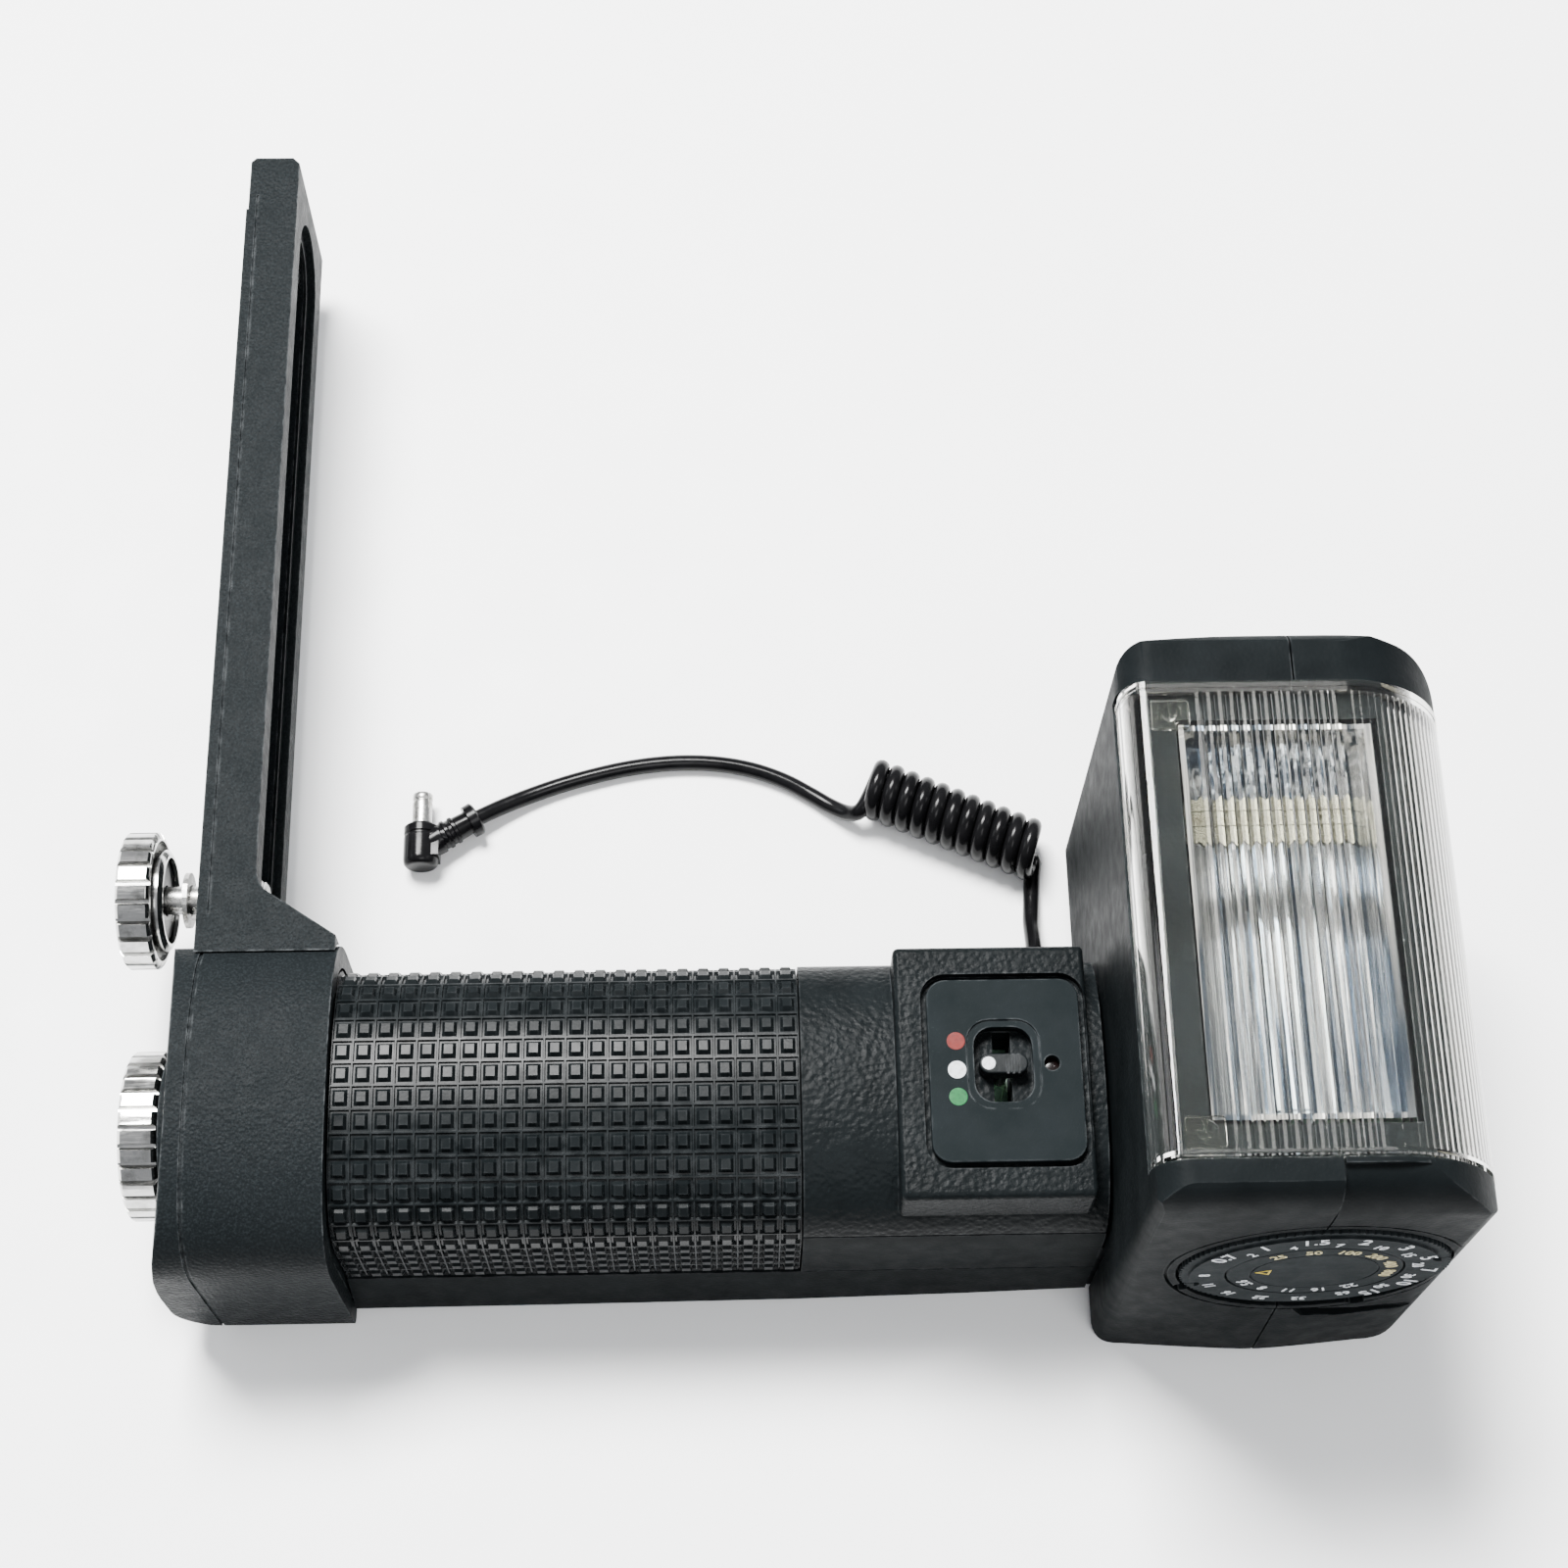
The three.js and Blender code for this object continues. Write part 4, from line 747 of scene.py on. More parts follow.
def grip_piece():
    """Squares with bevelled sides between thin raised ridges, wrapped round the handle's front."""
    h, split = HANDLE, HANDLE.split + 0.1
    middle = (split + h.shoulder) / 2
    bow = d_outline(h.half, h.rear, h.front, h.shoulder, 40)[6:-4]
    line = [Vector(p) for p in [(h.half, split), (h.half, middle), *bow, (-h.half, middle), (-h.half, split)]]
    reach = [0.0]
    for a, b in zip(line, line[1:]):
        reach.append(reach[-1] + (b - a).length)

    def at(distance):
        """The point this far along the line, and the inward direction there."""
        k = 0
        while k < len(line) - 2 and reach[k + 1] < distance:
            k += 1
        share = (distance - reach[k]) / max(reach[k + 1] - reach[k], 1e-9)
        point = line[k].lerp(line[k + 1], min(max(share, 0), 1))
        run = (line[min(k + 2, len(line) - 1)] - line[max(k - 1, 0)]).normalized()
        return point, Vector((-run.y, run.x))

    # Shares of one cell and what stands there: 1 ridge, 0 groove floor, 2 the pad's flat top.
    cell = ((0.0, 1), (0.035, 1), (0.07, 0), (0.15, 0), (0.29, 2), (0.71, 2), (0.85, 0), (0.93, 0), (0.965, 1))
    ridge, floor, back = 0.32, 0.72, 1.45

    def stations(length, count):
        return [((i + s) * (length / count), kind) for i in range(count) for s, kind in cell] + [(length, 1)]

    top, under = [], []
    across, around = stations(GRIP_END - h.start, GRIP_COLUMNS), stations(reach[-1], GRIP_ROWS)
    for s, kind_s in around:
        point, inward = at(s)
        for x, kind_x in across:
            depth = ridge if 1 in (kind_x, kind_s) else 0.0 if kind_x == kind_s == 2 else floor
            for side, inset in ((top, depth), (under, back)):
                v = point + inward * inset
                side.append((h.start + x, v.x, v.y))
    columns, rows = len(across), len(around)
    count = columns * rows
    faces = []
    for j in range(rows - 1):
        for k in range(j * columns, (j + 1) * columns - 1):
            faces.append((k, k + 1, k + columns + 1, k + columns))
            faces.append((count + k, count + k + columns, count + k + columns + 1, count + k + 1))
    rim = ([(i, i + 1) for i in range(columns - 1)]
           + [(i + 1, i) for i in range((rows - 1) * columns, count - 1)]
           + [(j * columns, (j + 1) * columns) for j in range(rows - 1)]
           + [((j + 1) * columns - 1, (j + 2) * columns - 1) for j in range(rows - 1)])
    faces += [(a, b, count + b, count + a) for a, b in rim]
    dress(raw(top + under, faces), "grip_cover", "handle", "grip_plastic", "grip", "grip_panel", smooth=24)


grip_piece()


# Handle shells, switch housing and what shows on the rear -----------------------------------------
SKIN = 1.6
BAND_TOP = 33.3
SADDLE = Sizes(x0=115, x1=144.7, half=20.2, top=47.3)
PLATE = Sizes(x0=119.9, x1=143.4, half=14.6, thick=1.2, round=3)
SLIDER = Sizes(x=131.4, y=0.9, length=7.5, width=3.2, well_x=4.5, well_y=6)
SENSOR = Sizes(x=138.8, y=0.9, hole=1.2, lens=1.8)
DOOR = Sizes(x0=34.3, x1=90.4, half=16.2, thick=2, swing=1, hinge_x=93.2, hinge_z=2.4, barrel=1.5)
HANDLE_SCREWS = ((104, 16.9), (104, -16.9), (130, 16.9), (130, -16.9))
FAR = 400


def above(z):
    return block(-FAR, FAR, -FAR, FAR, z, FAR)


def below(z):
    return block(-FAR, FAR, -FAR, FAR, -FAR, z)


def handle_solid(inset, start, end):
    return prism("x", handle_outline(inset), start, end)


def slab(x0, x1, half, r, z0, z1, steps=6):
    """A plate with round corners, centred on the handle's middle line."""
    return prism("z", round_box(x0, x1, -half, half, r, steps), z0, z1)


def front_shell():
    h = HANDLE
    band = meet(handle_solid(0, GRIP_END + GAP, h.end), below(BAND_TOP))
    made = cut(join(handle_solid(SKIN + GAP, h.start, h.end), band),
               handle_solid(SKIN + 2 + GAP, h.start - 1, h.end - 2),
               block(h.end - 4, h.end + 1, -18.4, 18.4, h.rear, 24))
    for x, y in HANDLE_SCREWS:
        made = cut(join(made, rod("z", 2.6, h.split, 24, x, y, 20)), rod("z", 1.1, h.split - 1, 22, x, y, 16))
    made = cut(meet(made, above(h.split)), centred(SLIDER.x, SLIDER.y, 1.4, 6, 38, 46))
    dress(soften(made, 0.2, 2, 40), "front_cover", "handle", "shell_plastic", "shell", "front_shell")


def skirt(side):
    """The rear shell widens towards its foot and towards the collar."""
    h = HANDLE
    stations = ((h.start, 1.9), (60, 1.8), (GRIP_END, 1.5), (128, 1.0), (h.end, 0.45))
    vertices = [(x, side * (h.half + y), z) for x, flare in stations for y, z in (
        (-1, h.split - GAP), (0.01, h.split - GAP), (flare, 3.2), (flare - 0.7, 1.4), (flare - 2.2, h.rear),
        (-3.5, h.rear))]
    n = 6
    faces = [tuple(range(n)), tuple(range(len(vertices) - n, len(vertices)))]
    for k in range(0, len(vertices) - n, n):
        faces += [(k + i, k + (i + 1) % n, k + n + (i + 1) % n, k + n + i) for i in range(n)]
    return raw(vertices, faces)


def rear_shell():
    h, d = HANDLE, DOOR
    made = cut(join(handle_solid(0, h.start, h.end), skirt(-1), skirt(1)),
               handle_solid(2.3, h.start - 1, h.end + 1))
    made = cut(meet(made, below(h.split - GAP)),
               block(d.x0 - GAP, d.x1 + d.swing, -d.half - GAP, d.half + GAP, -1, 5),
               block(d.x1, d.hinge_x + 2, -8.6, 8.6, -1, 5))
    for y in (-1, 1):
        made = join(made, block(d.hinge_x - 1.2, d.hinge_x + 3, y * 10.2 - 1.3, y * 10.2 + 1.3, 1.5, 4.6))
        made = cut(made, rod("y", 0.9, y * 10 - 3, y * 10 + 3, d.hinge_x, d.hinge_z, 16))
    for x, y in HANDLE_SCREWS:
        made = join(made, rod("z", 2.6, 2, h.split - GAP, x, y, 24))
        made = cut(made, rod("z", 1.2, 0, h.split, x, y, 20), rod("z", 2.3, 0, 2.2, x, y, 28))
    # Hole for the cord's gland, a shallow frame round the battery door, and ribs behind the switch block.
    door_line = cut(slab(d.x0 - 2.6, d.x1 + 5.6, 18.7, 3, 0, h.rear + 0.3),
                    slab(d.x0 - 2.0, d.x1 + 5.0, 18.1, 2.4, -1, 3))
    made = cut(made, rod("y", 3.2, 18, 24, 141.5, 8, 32), door_line,
               *[slab(x, x + 1.3, 11, 0.6, 0, h.rear + 0.45, 3) for x in (103 + 4.5 * k for k in range(9))])
    dress(soften(made, 0.2, 2, 40), "rear_cover", "handle", "shell_plastic", "shell", "rear_shell")


def well(grow, low, high):
    x, y, half_x, half_y = SLIDER.x, SLIDER.y, SLIDER.well_x, SLIDER.well_y
    return prism("z", round_box(x - half_x - grow, x + half_x + grow, y - half_y - grow, y + half_y + grow, 3),
                 low, high)


def switch_block():
    h, b, p, x0, moat = HANDLE, SADDLE, PLATE, GRIP_END + GAP, 0.9
    saddle = meet(handle_solid(0, x0, h.end), above(BAND_TOP + GAP))
    raised = soften(prism("x", round_box(-b.half, b.half, 34, b.top, 1.2), b.x0, b.x1), 0.9, 3)
    made = meet(cut(join(saddle, raised), handle_solid(SKIN, x0 - 1, h.end + 1)), above(BAND_TOP + GAP))
    floor = b.top - p.thick - GAP
    made = cut(made, slab(p.x0 - moat, p.x1 + moat, p.half + moat, p.round + moat, floor, b.top + 1),
               well(0.2, floor - 1.5, floor + 1), centred(SLIDER.x, SLIDER.y, 1.4, 6, 40, 46),
               rod("z", SENSOR.lens + GAP, floor - 1.6, floor + 1, SENSOR.x, SENSOR.y, 32))
    dress(soften(made, 0.3, 2, 36), "switch_saddle", "handle", "shell_plastic", "leather", "switch_housing")


def switch_plate():
    p, s, top = PLATE, SLIDER, SADDLE.top
    made = soften(slab(p.x0, p.x1, p.half, p.round, top - p.thick, top), 0.25, 2)
    step = prism("z", round_box(s.x - 5.6, s.x + 5.6, s.y - 7.1, s.y + 7.1, 3.6), top - 0.35, top + 1)
    made = cut(made, step, well(0, top - 3, top + 1),
               rod("z", SENSOR.hole, top - 3, top + 1, SENSOR.x, SENSOR.y, 32))
    dress(soften(made, 0.1, 2, 40), "switch_face", "handle", "plate_plastic", "plate", "switch_plate")
    for name, y in (("red", 4.6), ("white", 0.0), ("green", -4.3)):
        dot = lathe("z", (124.2, y), [(top - 0.03, 1.42), (top + 0.03, 1.4), (top + 0.05, 1.3)], 36)
        dress(dot, f"mode_dot_{name}", "handle", "plate_plastic", name)


def slider_parts():
    """The slider, and a dark plate under its well, so that the board below it is not seen; the plate's darkness
    is also painted shade for the deep well.
    """
    x, y, top, half, width = SLIDER.x, SLIDER.y, SADDLE.top, SLIDER.length / 2, SLIDER.width / 2
    # Dark plate: hides the board and stands in for the shade deep in the well.
    cover_and_shade = cut(centred(x, y, 5.4, 8, 38.6, 39), centred(x, y, 1.2, 5.1, 38, 40))
    dress(cover_and_shade, "well_cover_and_shade", "handle", "plate_plastic", "shell")
    base = top - PLATE.thick - 1.5
    pill = prism("z", round_box(x - half, x + half, y - width, y + width, 1.58, 8), base, top + 0.25)
    ribs = [x + 0.4 + k * 0.85 for k in range(3)]
    pill = cut(soften(pill, 0.3, 3, 50), *[block(at, at + 0.35, y - 3, y + 3, top - 0.1, top + 1) for at in ribs])
    pill = join(pill, rod("z", 1, 39, base + 0.5, x, y, 20))
    dress(pill, "slider_pill", "mode_slider", "plate_plastic", "smooth", "mode_slider")
    dot = lathe("z", (x - 2.35, y), [(top + 0.2, 1.05), (top + 0.28, 1.03), (top + 0.3, 0.95)], 28)
    dress(dot, "slider_dot", "mode_slider", "plate_plastic", "white")


def sensor_window():
    r, base = SENSOR.lens, SADDLE.top - PLATE.thick - GAP - 0.5
    dome = [(base + 0.5 * sin(radians(a)), r * cos(radians(a)) + 0.01) for a in range(12, 90, 12)]
    dress(lathe("z", (SENSOR.x, SENSOR.y), [(base - 0.8, r), (base, r), *dome], 32), "sensor_window", "handle",
          "sensor_dark", "sensor", "sensor_lens")


def battery_door():
    d, rear = DOOR, HANDLE.rear
    inside = rear + d.thick
    made = join(soften(slab(d.x0, d.x1, d.half, 1.0, rear, inside, 4), 0.3, 2),
                block(d.x0 + 4, d.x0 + 5, -10, 10, inside - 0.1, rear + 2.5),
                block(d.x1 - 1, d.hinge_x, -8, 8, d.hinge_z - d.barrel, d.hinge_z + 0.2),
                rod("y", d.barrel, -8, 8, d.hinge_x, d.hinge_z, 32))
    made = cut(made, rod("y", 0.6 + GAP, -10, 10, d.hinge_x, d.hinge_z, 20),
               slab(d.x0 + 2, d.x0 + 4.6, 7, 1.2, 0, rear + 0.8),
               *[slab(x, x + 0.7, 9, 0.33, 0, rear + 0.35, 3) for x in (d.x0 + 8 + k * 1.6 for k in range(7))])
    dress(soften(made, 0.12, 1, 45), "battery_cover", "battery_door", "shell_plastic", "shell", "battery_door")


def knuckle():
    x, z, r, half, axle, end = 159.8, 12, 11.5, 22, 2.5, HANDLE.end
    neck = soften(block(end + GAP, x, -half, half, z - r, z + r), 0.4, 2)
    made = join(rod("y", r, -half, half, x, z, 80, 0.5), neck, block(end - 6.5, end + 1, -18, 18, 4.5, 22))
    made = cut(made, rod("x", 3.5, end - 8, x - 5, 0, z, 24), rod("z", 3.5, z, z + 20, x - 6.5, 0, 24),
               rod("y", axle + GAP, -half - 1, half + 1, x, z, 32),
               rod("y", 8.2, -half, 0.5 - half, x, z, 64), rod("y", 8.2, half - 0.5, half, x, z, 64))
    dress(made, "knuckle", "handle", "shell_plastic", "shell", "tilt_knuckle", smooth=30)
    pin = lathe("y", (x, z), [(-28.4, 2.0), (-28, axle), (27.6, axle), (28, 2.0)], 36)
    dress(pin, "knuckle_pin", "handle", "steel", "steel", "tilt_axle")


front_shell()
rear_shell()
switch_block()
switch_plate()
slider_parts()
sensor_window()
battery_door()
knuckle()
for index, (x, y) in enumerate(HANDLE_SCREWS, 1):
    cross_screw(f"rear_screw_{index}", "z", x, y, 21, 1.9, 0.75, 2.1, "handle", f"handle_screw_{index}")


# Head: the body is where three outlines meet: the side profile, the plan and the end view ---------
HEAD = Sizes(x0=147.9, x1=199.5, y0=-31, y1=57.6, top=83.3, split=174, wall=2.2, flare=2.4)
LENS = Sizes(y0=-24.6, y1=47.8, thick=1.8, foot_left=75, foot_right=60.5, bed=78.8, step_x=187.2, bow=18.5)
REFLECTOR = Sizes(x=171.2, half=13.6, y0=-18, y1=42, top=78.5, bottom=55, slope=8, wall=0.8)
TUBE = Sizes(z=59.5, radius=2.3, y0=-24, y1=48)
DIAL = Sizes(x=176, z=46.2, outer=20, inner=13, face=-31.9, thick=1.7, spindle=2.2)
PIVOT = Sizes(x=159.8, z=12, knuckle=11.5, half=22, axle=2.5)
HEAD_SCREWS = ((-22, 33), (44, 12))


def head_profile(inset, top):
    x0, x1, z1 = HEAD.x0 + inset, HEAD.x1 - inset, top - inset
    small, foot = max(5.5 - inset, 0.8), max(4 - inset, 0.6)
    bow_x, bow_z = LENS.bow - inset, 22 - inset
    return ([(x0 + 3, inset)] + arc(x1 - foot, inset + foot, foot, foot, -90, 0, 8)
            + arc(x1 - bow_x, z1 - bow_z, bow_x, bow_z, 0, 90, 28)
            + arc(x0 + small, z1 - small, small, small, 90, 180, 12)
            + arc(x0 + 3, inset + 3, 3, 3, 180, 262, 6))


def head_plan(inset):
    y0, y1, split, draft = HEAD.y0 - HEAD.flare, HEAD.y1, HEAD.split, 1.7
    left, right, near, far = HEAD.x0 + inset, HEAD.x1 - inset, y0 + draft + inset, y1 - 2.1 - inset
    return path((left, y0 + 5.5), (8, (left, near), (HEAD.x0 + 5, near)), (split, y0 + inset),
                (HEAD.x1 - 8, near), (10, (right, near), (right, y0 + 9)), (right, y1 - 12),
                (12, (right, far - 0.3), (HEAD.x1 - 10, far)), (split, y1 - inset), (HEAD.x0 + 6, far),
                (8, (left, far - 0.3), (left, y1 - 7)))


def head_end_view(inset):
    near, far, top = HEAD.y0 + inset, HEAD.y1 - inset, HEAD.top - inset
    base = HEAD.y0 - HEAD.flare + inset
    return path((base + 2.5, inset), (far - 2.5, inset), (5, (far, inset), (far, inset + 2.5)), (far, top - 7),
                (12, (far, top), (far - 7, top)), (near + 6, top), (12, (near, top), (near, top - 8)),
                path((near, 48.5), (6, (near, 46), (near - 0.15, 43.5)))[1:], (base, inset + 2.5),
                (5, (base, inset), (base + 2.5, inset)))[:-1]


def head_body(inset, top):
    made = prism("y", head_profile(inset, top), HEAD.y0 - 5, HEAD.y1 + 2)
    return meet(made, prism("z", head_plan(inset), -2, HEAD.top + 2),
                prism("x", head_end_view(inset), HEAD.x0 - 2, HEAD.x1 + 2))


def lens_bed():
    x0, x1, top = HEAD.x0 - 5, HEAD.x1 + 5, HEAD.top + 5
    left, step, low, high = HEAD.x0 + 4, LENS.step_x, LENS.foot_left - GAP, LENS.foot_right - GAP
    return prism("y", [(x0, low), (left, low), (left, LENS.bed), (step, LENS.bed), (step, high), (x1, high),
                       (x1, top), (x0, top)], LENS.y0 - GAP, LENS.y1 + GAP)


def dial_rod(radius, low, high, segments=96):
    return rod("y", radius, low, high, DIAL.x, DIAL.z, segments)


def notch(reach, turn, low, high, segments):
    """A short rod reach away from the dial's middle, turn degrees round it."""
    return rod("y", 1.5, low, high, *polar((DIAL.x, DIAL.z), reach, radians(turn)), segments)


def head_shells():
    h, p, d, r = HEAD, PIVOT, DIAL, REFLECTOR
    slot_half = HANDLE.half + 0.4
    slot_x, slot_z = p.x + p.knuckle + 0.6, p.z + p.knuckle + 0.6
    hollow = cut(head_body(h.wall, LENS.bed), *[rod("x", 3.2, 0, FAR, y, z, 24) for y, z in HEAD_SCREWS],
                 block(0, slot_x + 2, -slot_half - 2, slot_half + 2, -5, slot_z + 2))
    edge = 1.2
    window = block(r.x - r.half - edge, r.x + r.half + edge, r.y0 - edge, r.y1 + edge, LENS.bed - 6, LENS.bed + 6)
    heel = cut(block(0, p.x, p.half + 0.6, FAR, -5, p.z), rod("y", p.z, -FAR, FAR, p.x, p.z, 120))
    made = cut(head_body(0, h.top - 0.9), lens_bed(), hollow, block(0, slot_x, -slot_half, slot_half, -5, slot_z),
               window, heel, rod("y", p.axle + GAP, h.y0 + 2.3, p.half + 6.4, p.x, p.z, 32))
    # Round recess for the dial, with a rim line round it and two small notches in its edge.
    made = cut(made, dial_rod(d.outer + 0.5, h.y0 - 6, d.face + d.thick + GAP, 120),
               dial_rod(d.spindle + GAP, h.y0 - 1, h.y0 + 6, 32),
               cut(dial_rod(d.outer + 2.2, -40, h.y0 + 0.35, 120), dial_rod(d.outer + 1.7, -41, h.y0 + 2, 120)),
               *[notch(d.outer + 0.6, turn, -40, h.y0 + 0.9, 28) for turn in (-62, 207)])
    # Narrow slot under the dial, open at the end of the head, with a slanted notch at its closed end.
    slot = [(h.split + 2.4, 24.5), (h.split + 4.6, 20.5), (FAR, 20.5), (FAR, 24.5)]
    made = cut(made, prism("y", slot, h.y0 - 5, h.y0 + 0.2))
    for y, z in HEAD_SCREWS:
        made = cut(made, rod("x", 1.2, 158, 205, y, z, 20), rod("x", 3, h.x1 - 2.5, 205, y, z, 32))
    other = thing("solid", made.data.copy())
    inner = meet(made, block(0, h.split - GAP / 2, -FAR, FAR, -FAR, FAR))
    # The outer shell's near shoulder lies a little lower and further back than the inner one's.
    top, edge = h.top - 1.75, LENS.y0 - 1.2
    wedge = path((edge, top), (h.y0 + 7, top), (12, (h.y0 + 0.3, top), (h.y0 - 0.05, h.top - 12.5)),
                 (h.y0 - 6, h.top - 12.5), (h.y0 - 6, h.top + 5), (edge, h.top + 5))
    outer = cut(meet(other, block(h.split + GAP / 2, FAR, -FAR, FAR, -FAR, FAR)), prism("x", wedge, h.split, 205))
    for part, name in ((inner, "inner"), (outer, "outer")):
        dress(soften(part, 0.28, 2, 38), f"head_{name}_cover", "head", "shell_plastic", "shell",
              f"head_{name}_shell", smooth=30)


def ribbed_lens():
    """Clear cover: smooth outside, fine ribs inside, a bead along each end and a thick left edge."""
    x0, top, t, foot, side = HEAD.x0, HEAD.top, LENS.thick, LENS.foot_left, LENS.foot_right
    bow, bow_z, rise = LENS.bow, top - side, 4
    x = HEAD.x1 - bow
    outline = path((x0 + 0.4, foot), (x0 + 0.4, foot + 2), (12, (x0 + 0.5, top), (x0 + rise, top)),
                   arc(x, side, bow, bow_z, 90, 0, 40), (HEAD.x1 - t, side))
    # The curved end carries deep close ribs, the flat part shallow ones.
    ribs, pitch = 24, 1.7
    for k in range(ribs):
        for share, depth in ((0.0, 0.0), (0.25, 0.08), (0.5, 0.11), (0.75, 0.08)):
            turn = radians(2 + 86 * (k + share) / ribs)
            outline.append((x + (bow - t - depth) * cos(turn), side + (bow_z - t - depth) * sin(turn)))
    at = x - 0.6
    while at > x0 + 10.5:
        outline += [(at - pitch * share, top - t - depth)
                    for share, depth in ((0, 0), (0.2, 0.26), (0.5, 0.38), (0.8, 0.26))]
        at -= pitch
    outline += path((x0 + rise + 0.4, top - t), (8, (x0 + 1.9, top - t), (x0 + 1.7, foot + 2)), (x0 + 1.7, foot))
    made = prism("y", outline, LENS.y0, LENS.y1)
    bead = path((x0 + 0.3, foot), (x0 + 0.3, foot + 2), (12, (x0 + 0.4, top + 0.1), (x0 + rise, top + 0.1)),
                arc(x, side, bow + 0.1, bow_z + 0.1, 90, 0, 32),
                arc(x, side, bow - t - 1.2, bow_z - t - 1.2, 0, 90, 32),
                (x0 + rise, top - t - 1.2), (10, (x0 + 2.8, top - t - 1.2), (x0 + 2.6, foot)))
    made = join(made, *[prism("y", bead, y, y + 1.1) for y in (LENS.y0, LENS.y1 - 1.1)])
    dress(made, "lens_window", "head", "lens_clear", "clear", "lens_cover", smooth=22)


def lens_baffle():
    """Cream reflector behind the lens cover's curved end, with dark slats along it: painted reflections of the
    head's black inside, as seen through the lens ribs.
    """
    x, z, low, high = HEAD.x1 - LENS.bow, LENS.foot_right, LENS.y0 + 1.6, LENS.y1 - 1.6
    bow_x, bow_z = LENS.bow - LENS.thick - 1.9, HEAD.top - z - LENS.thick - 1.9

    def shell(inside, outside, start, end, steps):
        outline = arc(x, z, bow_x + outside, bow_z + outside, start, end, steps)
        outline += arc(x, z, bow_x + inside, bow_z + inside, end, start, steps)
        return prism("y", outline, low, high)

    last, count, width = 66, 24, 1.1
    dress(shell(-0.7, 0, 1, last, 24), "lens_baffle", "head", "lens_clear", "cream_plastic", smooth=30)
    turns = [2 + 86 * (k + 0.5) / count for k in range(count)]
    # Dark slats: painted reflections, the black inside of the head as seen through the ribs.
    dark_reflection_strips = [shell(-0.1, 0.75, turn - width, turn + width, 1) for turn in turns if turn <= last]
    dress(join(*dark_reflection_strips), "baffle_dark_reflection_strips", "head", "shell_plastic", "smooth", smooth=30)


def lens_clips():
    """Small clear bosses that hold the lens cover at its two left corners."""
    for name, y in (("near", -20.6), ("far", 43.8)):
        foot = soften(prism("z", round_box(152.6, 158.4, y - 2.4, y + 2.4, 0.6, 4), 79.1, 80.3), 0.2, 2)
        foot = cut(foot, rod("z", 1.9, 79.7, 82, 155.4, y, 28))
        post = lathe("z", (155.4, y), [(79.4, 1.1), (80.5, 1.1), (80.8, 0.6), (81, 0.3)], 28)
        dress(join(foot, post), f"lens_clip_{name}", "head", "lens_clear", "clear")


def reflector_solid(grow, folds=26):
    """A curved trough made of narrow flat folds, with sloping ends."""
    r = REFLECTOR
    half, low, top = r.half + grow, r.bottom - grow, r.top + 1
    shares = [2 * i / folds - 1 for i in range(folds + 1)]
    section = [(r.x + share * half, low + (r.top - r.bottom + grow) * abs(share) ** 2.4) for share in shares]
    section += [(r.x + r.half + grow, top), (r.x - r.half - grow, top)]
    ends = [(r.y0 - grow, top), (r.y0 - grow + r.slope, low), (r.y1 + grow - r.slope, low), (r.y1 + grow, top)]
    return meet(prism("y", section, r.y0 - 5, r.y1 + 5), prism("x", ends, 100, 250))


def reflector_parts():
    r, t = REFLECTOR, TUBE
    cup = meet(reflector_solid(r.wall), below(r.top))
    cup = cut(cup, reflector_solid(0), rod("y", t.radius + GAP, -FAR, FAR, r.x, t.z, 32))
    dress(cup, "reflector_trough", "head", "mirror_tray", "mirror", "reflector", smooth=6)

    # Dull strip across the trough at the foot of its far end, toothed along both edges.
    edges = [(157.9 + 0.95 * k, 26.6 - 0.9 * (k % 2)) for k in range(29)]
    edges += [(184.5 - 0.95 * k, 33.0 + 0.9 * (k % 2)) for k in range(29)]
    spacer = cut(prism("z", edges, 71.2, 72.0), *[block(158.5, 184, y, y + 0.5, 71.8, 73) for y in (28.6, 31)])
    dress(spacer, "reflector_spacer", "head", "mirror_tray", "band", smooth=20)

    glass = lathe("y", (r.x, t.z), [(t.y0 + 4, 1.2), (t.y0 + 4.6, 2.0), (t.y0 + 5.6, t.radius),
                                    (t.y1 - 5.6, t.radius), (t.y1 - 4.6, 2.0), (t.y1 - 4, 1.2)], 40)
    dress(glass, "tube_glass", "head", "tube_glass", "glass", "flash_tube")
    for name, low, high in (("near", t.y0, t.y0 + 3.9), ("far", t.y1 - 3.9, t.y1)):
        dress(rod("y", 0.7, low, high, r.x, t.z, 20, 0.2), f"tube_lead_{name}", "head", "steel", "steel")


def digits(name, body, paint, size, *rows):
    """Raised print on the dial's face. A row is (words, first turn, turn to the next word, distance out)."""
    shape = bmesh.new()
    for words, start, step, reach in rows:
        for k, word in enumerate(words.split()):
            data = bpy.data.curves.new("digits", "FONT")
            data.body = word
            data.size = size
            data.align_x = data.align_y = "CENTER"
            data.extrude = 0.04
            data.offset = 0.035
            data.resolution_u = 3
            text = thing("digits", data)
            graph = bpy.context.evaluated_depsgraph_get()
            mesh = bpy.data.meshes.new_from_object(text.evaluated_get(graph))
            bpy.data.objects.remove(text)
            # Text is drawn in x-y facing +z; stand it up to face -y, turned so that its foot points inwards.
            angle = radians(start + step * k)
            x, z = polar((DIAL.x, DIAL.z), reach, angle)
            turned = Matrix.Rotation(radians(90) - angle, 4, "Y") @ Matrix.Rotation(radians(90), 4, "X")
            mesh.transform(Matrix.Translation((x, DIAL.face - 0.03, z)) @ turned)
            shape.from_mesh(mesh)
            bpy.data.meshes.remove(mesh)
    mesh = bpy.data.meshes.new("digits")
    shape.to_mesh(mesh)
    shape.free()
    dress(thing("solid", mesh), name, body, "dial_plastic", paint, flat=True)


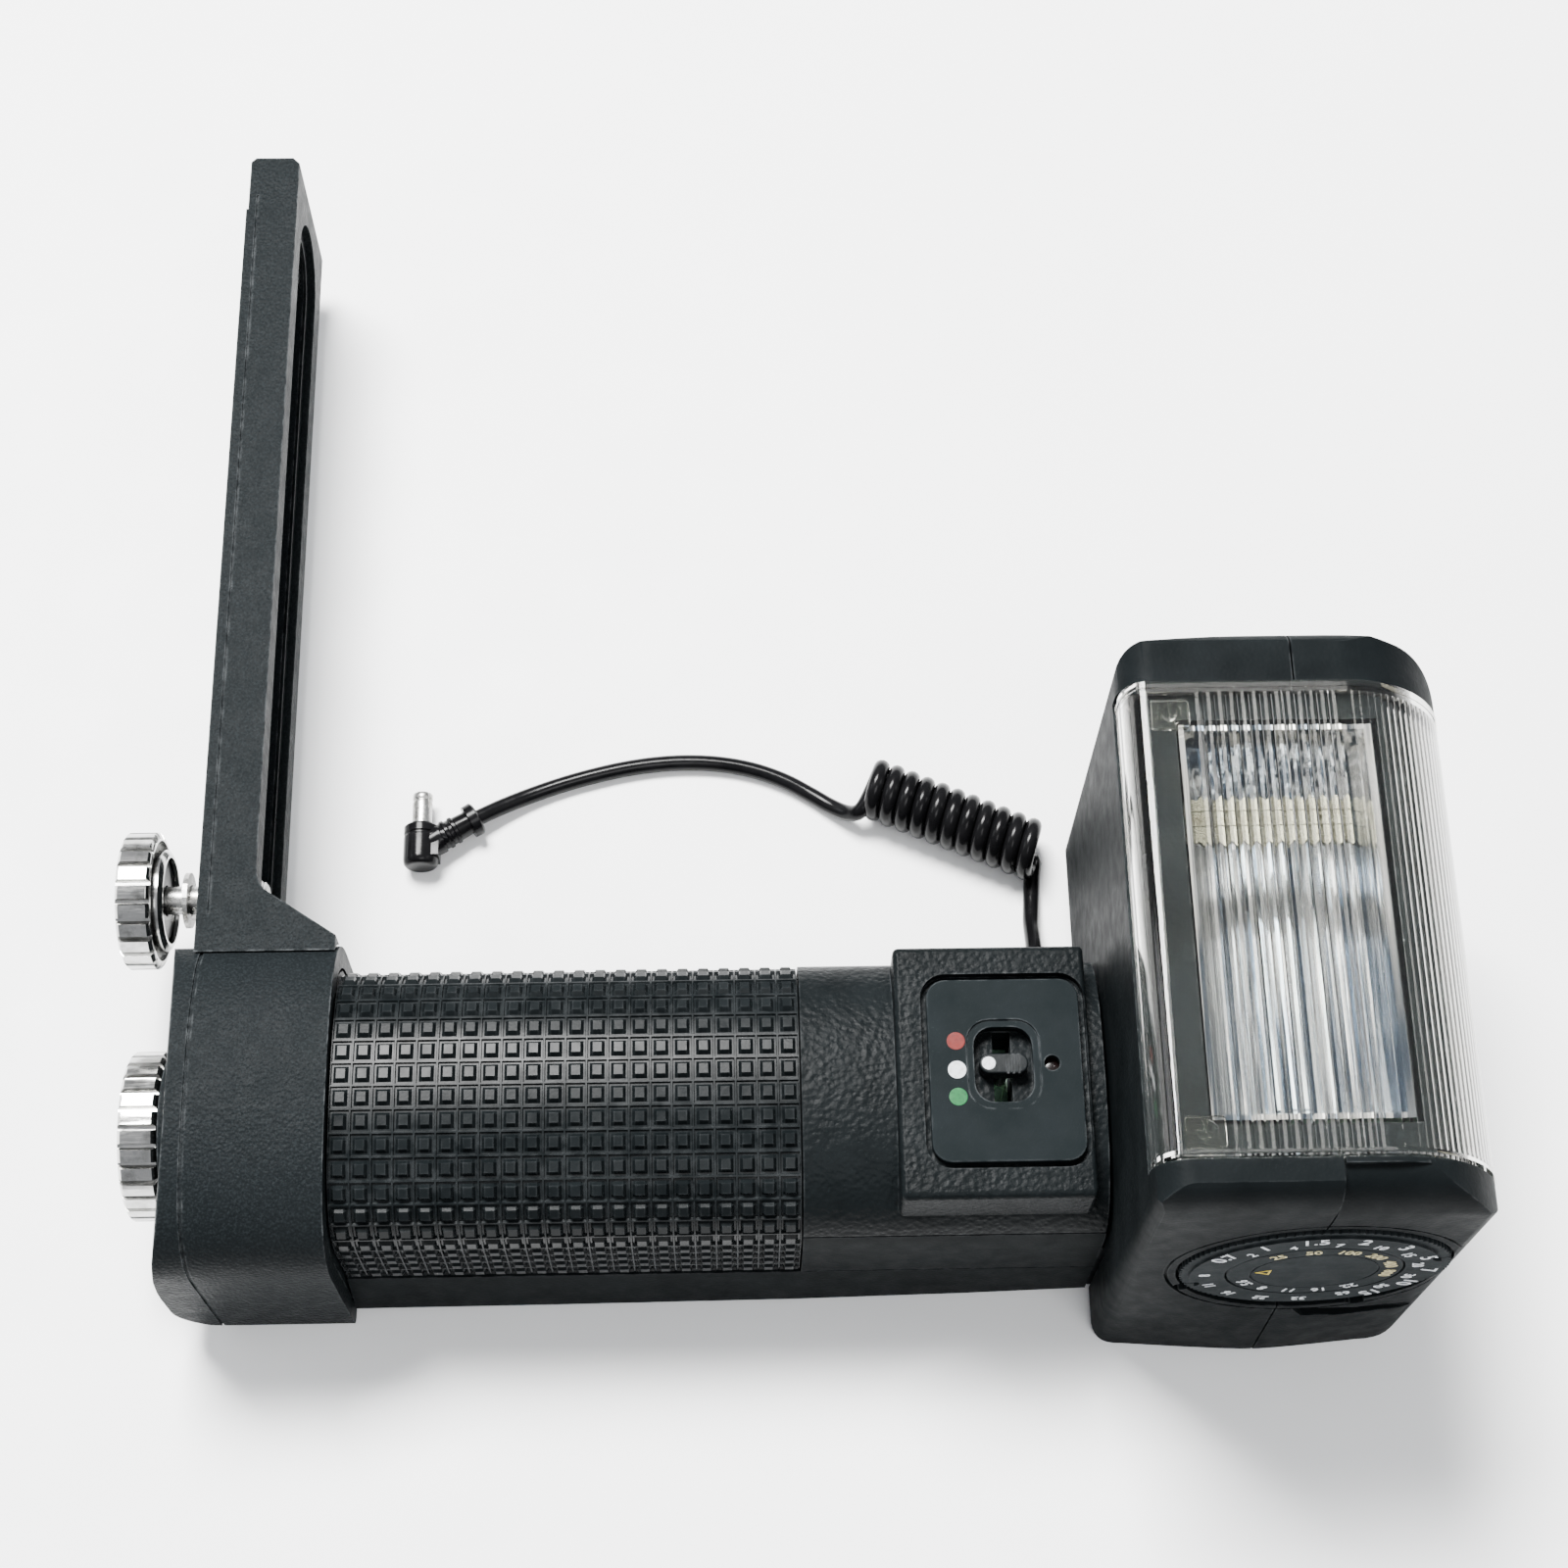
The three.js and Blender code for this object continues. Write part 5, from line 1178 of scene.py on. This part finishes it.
def dial_parts():
    d = DIAL
    centre, back = (d.x, d.z), d.face + d.thick
    rim = toothed(centre, 96, ((0.0, d.outer - 0.45), (0.3, d.outer), (0.7, d.outer)))
    # A stepped face: the knurled rim lies below the printed ring.
    step = cut(dial_rod(d.outer + 2, d.face - 1, d.face + 0.45), dial_rod(d.outer - 1.5, d.face - 2, d.face + 2))
    made = cut(prism("y", rim, d.face, back), step, dial_rod(d.inner + GAP, d.face - 1, back + 1),
               *[notch(d.outer - 1.2, turn, d.face - 1, d.face + 0.5, 24) for turn in (20, 200)])
    dress(soften(made, 0.1, 1, 40), "scale_ring", "dial_ring", "dial_plastic", "dial", "dial_ring", smooth=28)
    disc = lathe("y", centre, [(d.face, d.inner - 0.2), (d.face + 0.2, d.inner), (back, d.inner)], 96)
    disc = cut(disc, cut(dial_rod(9.6, d.face - 1, d.face + 0.18, 80), dial_rod(9.3, d.face - 2, d.face + 2, 80)))
    disc = join(disc, dial_rod(d.spindle, d.face + 1, HEAD.y0 + 4.9, 32))
    dress(disc, "scale_disc", "dial_disc", "dial_plastic", "dial", "dial_disc", smooth=30)
    # Generic numbers, and an outlined triangle that marks the disc's reading.
    digits("ring_numbers", "dial_ring", "white", 3.5, ("0.7 1 1.5 2 3 5 7 10 15", 150, -25, 16.9))
    digits("ring_numbers_fine", "dial_ring", "white", 2.4, ("2 4 7 10 15 20 30 50 65", 137, -25, 15.0),
           ("32 22 16 11 8", -88, -22, 16.2))
    digits("disc_numbers", "dial_disc", "cream", 2.5, ("25 50 100 200 400 800", 128, -27, 11.1))
    digits("disc_stops", "dial_disc", "white", 2.5, ("22 16 11 8 5.6", -52, -24, 11.1))
    outside, inside = ([polar((d.x - 7.4, d.z), r, radians(a)) for a in (180, 300, 60)] for r in (1.55, 0.95))
    mark = cut(prism("y", outside, d.face - 0.05, d.face + 0.02), prism("y", inside, d.face - 1, d.face + 1))
    dress(mark, "disc_mark", "dial_disc", "dial_plastic", "yellow", flat=True)


head_shells()
ribbed_lens()
lens_baffle()
lens_clips()
reflector_parts()
dial_parts()
for index, (y, z) in enumerate(HEAD_SCREWS, 1):
    cross_screw(f"head_screw_{index}_cap", "x", y, z, 162, HEAD.x1 - 2.2, HEAD.x1 - 0.6, 2.6, "head",
                f"head_screw_{index}")

# CAD nodes that stay as they are, with a finish of their own --------------------------------------
KEPT = {
    "bracket": "foot_plug", "brass": "handle_insert trigger_coil", "smooth": "screw_bush",
    "steel": "door_pin foot_contacts top_contacts clamp_stud knob_washer dial_clip",
    "capacitor": "main_capacitor", "board": "circuit_board trigger_board",
    "cell": "battery_cell_1 battery_cell_2 battery_cell_3 battery_cell_4",
}
for paint, names in KEPT.items():
    for name in names.split():
        for material_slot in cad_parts[name].material_slots:
            material_slot.link = "OBJECT"
            material_slot.material = finish[paint]


# Stage and light --------------------------------------------------------------------------------
def make_floor():
    half, low = 3.0, cad_low.z
    mesh = bpy.data.meshes.new("floor")
    corners = [(-half, -half, low), (half, -half, low), (half, half, low), (-half, half, low)]
    mesh.from_pydata(corners, [], [(0, 1, 2, 3)])
    mesh.materials.append(finish["floor"])
    thing("floor", mesh)


def lamp(name, at, size, watts, colour=(1, 1, 1)):
    data = bpy.data.lights.new(name, "AREA")
    data.shape = "RECTANGLE"
    data.size, data.size_y = size
    data.energy = watts
    data.color = colour
    made = thing(name, data)
    made.location = at
    made.rotation_mode = "QUATERNION"
    made.rotation_quaternion = (-Vector(at)).to_track_quat("-Z", "Y")


def light_room():
    lamp("far_ceiling", (-0.35, 0.62, 1.45), (0.7, 0.5), 150, (1, 0.995, 0.985))
    lamp("near_ceiling", (0.25, -0.7, 1.4), (0.8, 0.55), 12)
    lamp("window", (-1.25, 0.25, 0.85), (0.5, 0.5), 4, (0.95, 0.975, 1))
    lamp("wall", (1.2, -0.1, 0.9), (0.4, 0.7), 4)
    world = bpy.data.worlds.new("room")
    world.use_nodes = True
    sky = world.node_tree.nodes["Background"]
    sky.inputs["Color"].default_value = (0.93, 0.955, 1, 1)
    sky.inputs["Strength"].default_value = 0.55
    bpy.context.scene.world = world


make_floor()
light_room()
